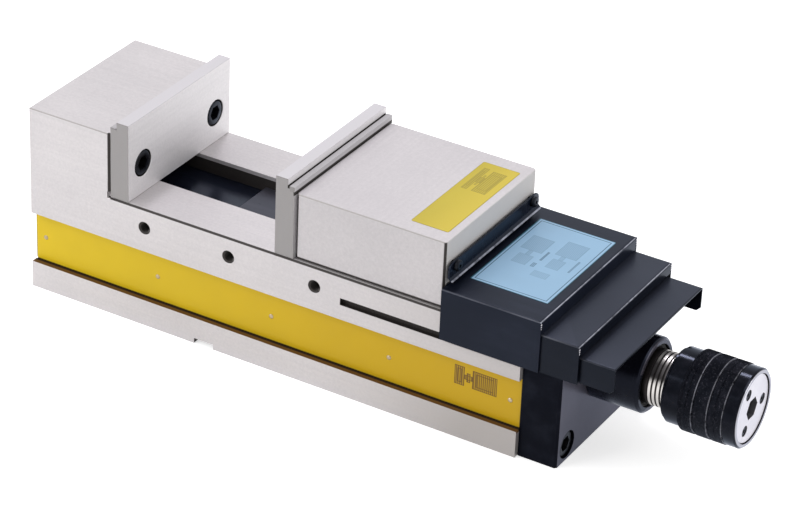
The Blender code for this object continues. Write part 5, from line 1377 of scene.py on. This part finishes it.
@dataclass
class BentSheet:
    """A sheet cover folded over the spindle: a top, two legs, and a lip or tab where there is one."""

    name: str
    left: float
    right: float
    width: float
    top: float
    lip: float
    tab: float
    body: Body
    bottom: float = 0.0747
    thickness: float = 0.0012
    bend: float = 0.0016
    tab_width: float = 0.110
    corner: float = 0.0

    def section(self) -> list[Pair]:
        """The folded sheet's outline across the vise, outside first."""
        half, turn, thin = self.width / 2, self.bend, self.bend - self.thickness
        inner, height = half - turn, self.top - turn
        points = [(half, self.bottom)] + arc((inner, height), turn, 0, 90) + arc((-inner, height), turn, 90, 180)
        points += [(-half, self.bottom), (self.thickness - half, self.bottom)]
        points += arc((-inner, height), thin, 180, 90) + arc((inner, height), thin, 90, 0)
        return points + [(half - self.thickness, self.bottom)]

    def fold_lip(self, stock: Stock) -> None:
        """Fold a lip down at the right end."""
        half, turn, thin = self.width / 2, self.bend, self.bend - self.thickness
        end, side = at(self.right), half - self.thickness
        centre = (end - turn, self.top - turn)
        stock.cut((centre[0], -side, self.top - turn - 0.001), (end + SPARE, side, self.top + SPARE))
        root = centre[0] - self.thickness
        profile = [(root, self.top - self.thickness), (root, self.top)] + arc(centre, turn, 90, 0)
        profile += [(end, self.top - self.lip), (end - self.thickness, self.top - self.lip)]
        profile += arc(centre, thin, 0, 90)
        slit = side - 0.0004
        stock.plus(Stock().outline(profile, "Y", -slit, slit))

    def fold_tab(self, stock: Stock) -> None:
        """Fold a tab up at the left end."""
        turn, thin, start = self.bend, self.bend - self.thickness, at(self.left)
        side, centre = self.tab_width / 2, (start + thin, self.top + thin)
        stock.cut((start - SPARE, -side - 0.0004, self.top - 0.003), (centre[0], side + 0.0004, self.top + SPARE))
        root = centre[0] + self.thickness
        profile = [(root, self.top), (root, self.top - self.thickness)] + arc(centre, turn, 270, 180)
        profile += [(start - self.thickness, self.top + self.tab), (start, self.top + self.tab)]
        profile += arc(centre, thin, 180, 270)
        stock.plus(Stock().outline(profile, "Y", -side, side))

    def bend_highlight(self) -> tuple[Box, ...]:
        """The strips along the side bends, which get a faint painted highlight."""
        half, rub = self.width / 2, 0.0009
        return both((self.left - 0.002, self.right + 0.001), (half - rub, half + 0.001),
                    (self.top - rub, self.top + 0.001))

    def lip_highlight(self) -> tuple[Box, ...]:
        """The strip along the lip's bend, which gets the strongest painted highlight."""
        half = self.width / 2
        strip = box((self.right - 0.0008, self.right + 0.001), (-half, half),
                    (self.top - 0.0007, self.top + 0.001))
        return (strip,) if self.lip else ()

    def upper(self) -> tuple[Box, ...]:
        """The upper face of a cover without a tab, which is painted lighter."""
        half = self.width / 2 - 0.0006
        face = box((self.left, self.right - 0.001), (-half, half), (self.top - 0.0003, self.top + 0.001))
        return () if self.tab else (face,)

    def welds(self, material: bpy.types.Material) -> None:
        """Set small weld beads into the corners of the lip."""
        stock = Stock()
        side = self.width / 2 - self.thickness * 0.6
        for hand in (-1, 1):
            for index, drop in enumerate((0.0022, 0.0040, 0.0056)):
                size = 0.00075 - index * 0.00012
                made = bmesh.ops.create_icosphere(stock.work, subdivisions=3, radius=size)["verts"]
                bmesh.ops.scale(stock.work, vec=(0.6, 1.0, 1.0), verts=made)
                bmesh.ops.translate(stock.work, verts=made,
                                    vec=(at(self.right) - 0.0001, hand * side, self.top - drop))
        Dress(f"{self.name}_welds", material, self.body, "dark_sheet", edge=0).put_on(stock)

    def build(self, finishes: Finishes) -> None:
        """Make the cover."""
        stock = Stock().outline(self.section(), "X", at(self.left), at(self.right))
        if self.lip:
            self.fold_lip(stock)
            # The weld beads take the light grey cap finish: painted glints that make them show as bright dots.
            self.welds(finishes.cap_oxide)
        if self.tab:
            self.fold_tab(stock)
        if self.corner:
            end, low, leg = at(self.right), self.bottom, self.corner
            cut = [(end - leg, low - SPARE), (end + SPARE, low - SPARE), (end + SPARE, low + leg),
                   (end, low + leg), (end - leg, low)]
            stock.minus(Stock().outline(cut, "Y", -self.width, self.width))
        # Painted shade: covers without a tab are darkened to 0.45 of the coating's colour, as they lie deeper in
        # shade.
        depth = 1.0 if self.tab else 0.45
        paint = CoatedSheet(name=f"{self.name}_coat", colour=dimmed(CoatedSheet.colour, depth),
                            dust=dimmed(CoatedSheet.dust, depth), bends=self.lip_highlight(), faint=self.bend_highlight(),
                            lighter_tops=self.upper()).make()
        Dress(f"{self.name}_folded", paint, self.body, "dark_sheet", (self.name,), 0.00018).put_on(stock)


@dataclass
class Covers:
    """The telescoping covers, the label on the front one, the guard strip and their screws."""

    front: BentSheet = field(default_factory=lambda: BentSheet(
        "cover_front", 0.3394, 0.4149, 0.1370, 0.1135, 0.0099, 0.0080, Body.JAW))
    middle: BentSheet = field(default_factory=lambda: BentSheet(
        "cover_middle", 0.3410, 0.4432, 0.1338, 0.1033, 0.0081, 0.0, Body.MIDDLE))
    rear: BentSheet = field(default_factory=lambda: BentSheet(
        "cover_rear", 0.4006, 0.4690, 0.1282, 0.0936, 0.0, 0.0, Body.ROOT, corner=0.003))

    def build(self, finishes: Finishes) -> None:
        """Make the covers and what is on them."""
        for cover in (self.front, self.middle, self.rear):
            cover.build(finishes)
        low, high = (at(0.3478), -0.0452), (at(0.4070), 0.0525)
        label = Stock().outline(rounded(low, high, 0.001), "Z", self.front.top, self.front.top + 0.00012)
        Dress("cover_label", BlueLabel(low, high).make(), Body.JAW, "dark_sheet", edge=0).put_on(label)
        for hand, word in SIDES:
            M4.fit(finishes, f"cover_screw_{word}", Body.ROOT, 0.0001,
                   (at(COVER_SCREW[0]), hand * COVER_SCREW[1], 0.0949), (0, 0, 1))
        self.guard(finishes)

    def guard(self, finishes: Finishes) -> None:
        """Make the bent guard strip and its two button screws."""
        back, face = at(0.3397), at(0.3412)
        half, high, turn = 0.0615, 0.1290, 0.005
        side = [(back, high), (back, 0.1187), (back + 0.0025, 0.1162), (face + 0.0025, 0.1162),
                (face, 0.1187), (face, high)]
        stock = Stock().outline(side, "Y", -half, half)
        for hand, word in SIDES:
            corner = [(half + SPARE, high + SPARE), (half + SPARE, high - turn), (half, high - turn),
                      *arc((half - turn, high - turn), turn, 0, 90), (half - turn, high + SPARE)]
            stock.minus(Stock().outline([(hand * y, z) for y, z in corner], "X", back - 0.002, face + 0.006))
            across, height = hand * GUARD_SCREW[0], GUARD_SCREW[1]
            M5.fit(finishes, f"guard_screw_{word}", Body.JAW, 0.00015, (face + 0.0029, across, height))
            stock.bore(0.0025, (face, across, height), 0.0055, (1, 0, 0))
        Dress("guard_strip", finishes.guard, Body.JAW, "dark_sheet", ("chip_guard",), 0.0003).put_on(stock)


@dataclass
class EndUnit:
    """The end block with its screws, the nut's collar and the wiper."""

    left: float = 0.4003
    right: float = 0.4297
    width: float = 0.1222
    top: float = 0.0921
    depth: float = 0.0334
    chamfer: float = 0.0015
    collar: float = 0.0270
    collar_end: float = 0.4687

    def build(self, finishes: Finishes) -> None:
        """Make the block, its screws, the nut and the wiper."""
        half, cut = self.width / 2, self.chamfer
        plan = [(at(self.left), -half), (at(self.right) - cut, -half), (at(self.right), -half + cut),
                (at(self.right), half - cut), (at(self.right) - cut, half), (at(self.left), half)]
        stock = Stock().outline(plan, "Z", 0.0, self.top)
        stock.bore(0.0243, (at(self.right), 0.0, AXIS_HEIGHT), self.depth, (1, 0, 0), 0.0, 96)
        corners = [(hand, height) for hand, _ in SIDES for height in END_SCREW_HEIGHTS]
        for number, (hand, height) in enumerate(corners, start=1):
            mouth = (at(self.right), hand * END_SCREW_ACROSS, height)
            stock.bore(M12_SINK, mouth, 0.0130, (1, 0, 0), 0.0, 64)
            stock.bore(M12_HOLE, mouth, self.depth, (1, 0, 0))
            M12_LONG.fit(finishes, f"end_block_screw_{number}", Body.ROOT, 0.0002,
                         (at(self.right - 0.0013), mouth[1], height))
            if height == END_SCREW_HEIGHTS[-1]:
                stock.bore(0.0023, (at(COVER_SCREW[0]), hand * COVER_SCREW[1], self.top), 0.011, (0, 0, 1))
        Dress("end_block_milled", finishes.end_face, Body.ROOT, "black_oxide", ("end_block",),
              0.0004).put_on(stock)
        self.nut(finishes)

    def nut(self, finishes: Finishes) -> None:
        """Make the nut's collar and the wiper in its mouth."""
        start, shoulder, end = at(self.left), at(0.4300), at(self.collar_end)
        profile = [(start, 0.0240), (shoulder, 0.0240), (shoulder, self.collar), (end - 0.0018, self.collar),
                   (end, self.collar - 0.0018), (end, 0.0225), (end - 0.006, 0.0225), (end - 0.006, 0.0200),
                   (start, 0.0200)]
        stock = Stock().turn(profile, steps=120, ring=True)
        Dress("nut_collar", finishes.nut, Body.ROOT, "black_oxide", ("spindle_nut",), 0.0003).put_on(stock)
        left = end - 0.0057
        profile = [(left, 0.0222), (left + 0.0036, 0.0222), (left + 0.0027, 0.0198), (left, 0.0198)]
        wiper = Stock().turn(profile, ring=True)
        Dress("wiper_ring", finishes.rubber, Body.ROOT, "rubber", ("wiper_seal",), 0.0001).put_on(wiper)


@dataclass
class SpindleUnit:
    """The spindle with its thread and scale, and the thrust block, rod and pin that it drives."""

    left: float = 0.3676
    scale_left: float = 0.4657
    right: float = 0.5027
    radius: float = 0.0195
    groove: float = 0.0008

    def build(self, finishes: Finishes) -> None:
        """Make the spindle, scale, thrust block, rod and pin."""
        a, b, c = at(self.left), at(self.scale_left), at(self.right)
        end = a + 0.0627
        core = self.radius - 0.0007
        profile = [(a, 0.0215), (a + 0.0032, 0.0215), (a + 0.0032, core), (b, core), (b, 0.0165), (c, 0.0165),
                   (c, 0.0045), (end, 0.0045), (end, 0.0130), (a, 0.0130)]
        tube = Stock().turn(profile, ring=True)
        Dress("spindle_tube", finishes.turned, Body.SPINDLE, "bright_steel", ("spindle_cylinder",),
              0.0002).put_on(tube)
        thread = helix(self.radius - 0.0008, self.radius, 0.004, 20, (a + 0.0060, 0, AXIS_HEIGHT), (1, 0, 0), 64)
        Dress("spindle_thread", finishes.turned, Body.SPINDLE, "bright_steel", edge=0).put_on(thread)
        outline, half, foot = [(b + 0.0003, self.radius)], self.groove / 2, self.radius - 0.0008
        for index in range(4):
            middle = at(FIRST_MARK) + MARK_PITCH * (index + 1)
            outline += [(middle - half, self.radius), (middle - half, foot), (middle + half, foot),
                        (middle + half, self.radius)]
        outline += [(c, self.radius), (c, 0.0168), (b + 0.0003, 0.0168)]
        scale = Stock().turn(outline, steps=120, ring=True)
        Dress("scale_rings", finishes.scale, Body.SPINDLE, "bright_steel", ("pressure_scale",),
              0.00015).put_on(scale)
        self.drive(finishes)

    def drive(self, finishes: Finishes) -> None:
        """Make the thrust block, the rod with its range holes and the pin."""
        half = [(0.0376, 0.030), (0.0396, 0.032), (0.0396, 0.0677), (0.0246, 0.0677), (0.0246, 0.080),
                (0.0226, 0.082)]
        section = half + [(-y, z) for y, z in reversed(half)]
        block = Stock().outline(section, "X", at(0.3546), at(0.3738))
        passage = [(at(0.3506), 0.0), (at(0.3506), 0.0134), (at(0.3600), 0.0134), (at(0.3600), 0.0084),
                   (at(0.3640), 0.0084), (at(0.3640), 0.0225), (at(0.3778), 0.0225), (at(0.3778), 0.0)]
        block.minus(Stock().turn(passage))
        Dress("thrust_block_milled", finishes.iron, Body.CARRIAGE, "cast_iron", ("thrust_block",),
              0.0004).put_on(block)
        left, shoulder, end = at(0.2195), at(0.3597), at(0.3760)
        profile = [(left, 0.0), (left, 0.011), (left + 0.002, 0.013), (shoulder, 0.013), (shoulder, 0.008),
                   (end, 0.008), (end, 0.0)]
        rod = Stock().turn(profile)
        for index in range(5):
            rod.bore(0.0053, (at(PIN_PLACE - index * 0.0285), 0.0, 0.069), 0.030, (0, 0, 1))
        Dress("thrust_rod_turned", finishes.turned, Body.ROD, "bright_steel", ("thrust_rod",), 0.0003).put_on(rod)
        profile = [(0.0, 0.0), (0.0, 0.0042), (0.0008, 0.005), (0.025, 0.005), (0.025, 0.0063), (0.0282, 0.0063),
                   (0.029, 0.0055), (0.029, 0.0)]
        pin = Stock().turn(profile, (at(PIN_PLACE), 0.0, 0.0693), (0, 0, 1), 64)
        Dress("range_pin_turned", finishes.turned, Body.PIN, "bright_steel", ("range_pin",), 0.0002).put_on(pin)


@dataclass
class Handle:
    """The handle with three knurled bands, its cap, screws and drive socket."""

    left: float = 0.4852
    right: float = 0.5414
    rear_radius: float = 0.0250
    neck_radius: float = 0.0268
    neck_length: float = 0.0135
    rim_length: float = 0.0093
    rim_radius: float = 0.0282
    knurl_radius: float = 0.0280
    knurl_depth: float = 0.0007
    groove_width: float = 0.0009
    groove_radius: float = 0.0272
    bands: int = 3
    rows: int = 16
    steps: int = 280
    cap_radius: float = 0.0245
    cap_thickness: float = 0.0042
    cap_drop: float = 0.0011
    screw_circle: float = 0.0160
    screw_angles: tuple[int, ...] = (118, -2, 238)

    def band_rows(self) -> list[list[float]]:
        """The places of the rows of points in each knurled band."""
        start, end = self.left + self.neck_length, self.right - self.rim_length
        band = (end - start - self.bands * self.groove_width) / self.bands
        first = [start + index * (band + self.groove_width) for index in range(self.bands)]
        return [[at(place + band * row / self.rows) for row in range(self.rows + 1)] for place in first]

    def build(self, finishes: Finishes) -> None:
        """Make the handle and the pieces in its face."""
        left, right = at(self.left), at(self.right)
        rows = self.band_rows()
        profile = [(left, self.rear_radius), (left + 0.0012, self.rear_radius), (left + 0.0024, self.neck_radius),
                   (rows[0][0], self.neck_radius)]
        for band in rows:
            profile += [(place, self.knurl_radius) for place in band]
            profile += [(band[-1], self.groove_radius), (band[-1] + self.groove_width, self.groove_radius)]
        hollow = self.cap_radius + 0.0003
        recess, socket = right - self.cap_drop - self.cap_thickness - 0.0003, at(0.5194)
        bottom = at(0.5142)
        profile += [(at(self.right - self.rim_length), self.rim_radius), (right - 0.0015, self.rim_radius),
                    (right, self.rim_radius - 0.0015), (right, hollow), (recess, hollow), (recess, 0.0123),
                    (socket, 0.0123), (socket, 0.0039), (bottom, 0.0039), (bottom, 0.0200), (left, 0.0200)]
        stock = Stock().turn(profile, steps=self.steps, ring=True)
        self.raise_points(stock, rows)
        reach = 0.03
        spans = ((right - 0.0003, right + 0.0003), (left - 0.001, rows[0][0]),
                 (right - self.rim_length, right + 0.001), *((row[-1] - 0.00035, row[-1] + 0.00010) for row in rows))
        ring, *bands = [((first, -reach, AXIS_HEIGHT - reach), (last, reach, AXIS_HEIGHT + reach))
                        for first, last in spans]
        # Painted highlight: the ring zone paints the rim's front edge light grey.
        paint = KnurledOxide(2 * (rows[0][1] - rows[0][0]), self.steps // 2, rows[0][0], grooves=tuple(bands[2:]),
                             plain=tuple(bands[:2]), painted_light_and_shade=((ring, (0.52, 0.51, 0.55)),)).make()
        Dress("handle_knurled", paint, Body.HANDLE, "black_oxide", ("handle",), 0).put_on(stock)
        self.face(finishes, right)

    def raise_points(self, stock: Stock, rows: list[list[float]]) -> None:
        """Lift every second point of the knurled rows into diamonds."""
        inner = {round(place, 7): index for band in rows for index, place in enumerate(band)
                 if 0 < index < self.rows}
        for vert in stock.work.verts:
            index = inner.get(round(vert.co.x, 7))
            height, across = vert.co.z - AXIS_HEIGHT, vert.co.y
            radius = math.hypot(across, height)
            if index is None or abs(radius - self.knurl_radius) > 1e-5:
                continue
            step = round(math.atan2(across, height) / math.tau * self.steps)
            grow = (radius + (self.knurl_depth if (step + index) % 2 else -0.0001)) / radius
            vert.co.y = across * grow
            vert.co.z = AXIS_HEIGHT + height * grow

    def face(self, finishes: Finishes, right: float) -> None:
        """Make the cap, its screws and the drive socket."""
        front = right - self.cap_drop
        back = front - self.cap_thickness
        profile = [(back, 0.0), (back, self.cap_radius), (front - 0.0004, self.cap_radius),
                   (front, self.cap_radius - 0.0004), (front, 0.0)]
        cap = Stock().turn(profile, steps=120).socket(0.0146, (front, 0, AXIS_HEIGHT), (1, 0, 0), 0.008)
        for number, angle in enumerate(self.screw_angles, start=1):
            y, z = arc((0.0, AXIS_HEIGHT), self.screw_circle, angle, angle, 1)[0]
            cap.bore(0.0040, (front, y, z), 0.0033, (1, 0, 0), 0.0, 48)
            cap.bore(0.0023, (front, y, z), 0.008, (1, 0, 0), 0.0, 32)
            CAP_SCREW.fit(finishes, f"handle_screw_{number}", Body.HANDLE, 0.0001, (front - 0.0006, y, z))
        Dress("cap_face", finishes.cap_oxide, Body.HANDLE, "black_oxide", ("handle_cap",), 0.0002).put_on(cap)
        start, end = at(0.5197), back - 0.0003
        socket = Stock().turn([(start, 0.0), (start, 0.012), (end, 0.012), (end, 0.0)])
        socket.socket(0.014, (end, 0, AXIS_HEIGHT), (1, 0, 0), end - start - 0.003)
        Dress("socket_insert", finishes.brass, Body.HANDLE, "brass", ("drive_socket",), 0.0002).put_on(socket)


@dataclass
class InnerPieces:
    """Solids that stay as they are and only get a finish."""

    def build(self, finishes: Finishes) -> None:
        """Dress the inner solids."""
        pairs = {"thrust_bearing": finishes.turned, "bearing_retainer": finishes.turned,
                 "return_spring": finishes.turned, "power_piston": finishes.turned, "plunger": finishes.turned,
                 "piston_seal": finishes.rubber, "plunger_seal": finishes.rubber}
        for name, material in pairs.items():
            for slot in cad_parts[name].material_slots:
                slot.material = material
            LOG.info("solid %s dressed", name)


@dataclass(frozen=True)
class Lamp:
    """A soft square lamp that faces the vise, with its side's length and its power in watts."""

    name: str
    place: Triple
    size: float
    power: float
    tint: Colour = (1.0, 1.0, 1.0)

    def light(self) -> None:
        """Put the lamp in the scene."""
        data = bpy.data.lights.new(self.name, "AREA")
        data.shape = "SQUARE"
        data.size, data.energy, data.color = self.size, self.power, self.tint
        lamp = bpy.data.objects.new(self.name, data)
        lamp.location = self.place
        lamp.rotation_euler = (Vector((0, 0, 0.08)) - Vector(self.place)).to_track_quat("-Z", "Y").to_euler()
        bpy.context.scene.collection.objects.link(lamp)


@dataclass
class Studio:
    """A plain pale floor, soft light and the camera."""

    azimuth: float = 29.63
    elevation: float = 30.22
    roll: float = 2.51
    focal: float = 3314.14
    image_width: float = 797.0
    target: Triple = (-0.00648, 0.00404, 0.08104)
    distance: float = 2.29984
    fill: float = 0.58
    floor_glow: float = 0.62
    floor_half: float = 12.0
    lamps: tuple[Lamp, ...] = (Lamp("key", (-1.3, -1.4, 1.2), 1.4, 20.5),
                               Lamp("top", (-0.53, 1.13, 1.90), 0.29, 9.0, (0.95, 0.92, 1.0)),
                               Lamp("rim", (1.7, 0.5, 0.9), 0.9, 11.0))

    def camera(self) -> None:
        """Place the camera at the viewing angle."""
        a, e, r = (math.radians(value) for value in (self.azimuth, self.elevation, self.roll))
        back = Vector((math.sin(a) * math.cos(e), -math.cos(a) * math.cos(e), math.sin(e)))
        right = Vector((math.cos(a), math.sin(a), 0.0))
        up = back.cross(right)
        turned_right = right * math.cos(r) + up * math.sin(r)
        turned_up = up * math.cos(r) - right * math.sin(r)
        data = bpy.data.cameras.new("camera")
        data.sensor_width = 36.0
        data.sensor_fit = "HORIZONTAL"
        data.lens = self.focal / self.image_width * data.sensor_width
        camera = bpy.data.objects.new("camera", data)
        bpy.context.scene.collection.objects.link(camera)
        camera.matrix_world = Matrix.Translation(Vector(self.target) + back * self.distance) @ Matrix(
            (turned_right, turned_up, back)).transposed().to_4x4()
        bpy.context.scene.camera = camera

    def floor(self) -> None:
        """Make the floor, which shows white where no shadow falls."""
        work = bmesh.new()
        bmesh.ops.create_grid(work, x_segments=2, y_segments=2, size=self.floor_half)
        mesh = bpy.data.meshes.new("floor")
        work.to_mesh(mesh)
        work.free()
        item = bpy.data.objects.new("floor", mesh)
        item.location.z = -0.0002
        bpy.context.scene.collection.objects.link(item)
        sheet = Sheet.principled("pale_floor")
        sheet.set(Base_Color=(0.82, 0.82, 0.82, 1.0), Roughness=0.9, Metallic=0.0)
        glow = sheet.node("ShaderNodeEmission", {}, {"Color": WHITE, "Strength": sheet.seen() * self.floor_glow})
        both = sheet.node("ShaderNodeAddShader", {}, {0: Wire(sheet, sheet.shader.outputs[0]), 1: glow})
        sheet.tree.links.new(both.socket, sheet.out.inputs[0])
        item.data.materials.append(sheet.owner)

    def sky(self) -> None:
        """Make the world, which is white to the camera and in metal, and gives the soft fill light."""
        world = bpy.data.worlds.new("studio")
        sheet = Sheet(world, "ShaderNodeBackground", "ShaderNodeOutputWorld")
        strength = sheet.node("ShaderNodeMapRange", {}, {0: sheet.seen(), 3: self.fill, 4: 1.0})
        sheet.set(Color=WHITE, Strength=strength)
        bpy.context.scene.world = world

    def build(self) -> None:
        """Set up the stage, the light and the view."""
        self.sky()
        for lamp in self.lamps:
            lamp.light()
        self.floor()
        self.camera()
        bpy.context.scene.view_settings.view_transform = "Standard"


def main() -> None:
    """Build every sub-assembly in order, then set up the studio."""
    logging.basicConfig(level=logging.INFO, format="%(message)s")
    finishes = Finishes()
    for assembly in (Casting(), SidePlate(), JawPlates(), MovingJaw(), Shields(), Covers(), EndUnit(),
                     SpindleUnit(), Handle(), InnerPieces()):
        assembly.build(finishes)
        LOG.info("built %s", type(assembly).__name__)
    Studio().build()


if __name__ == "__main__":
    main()
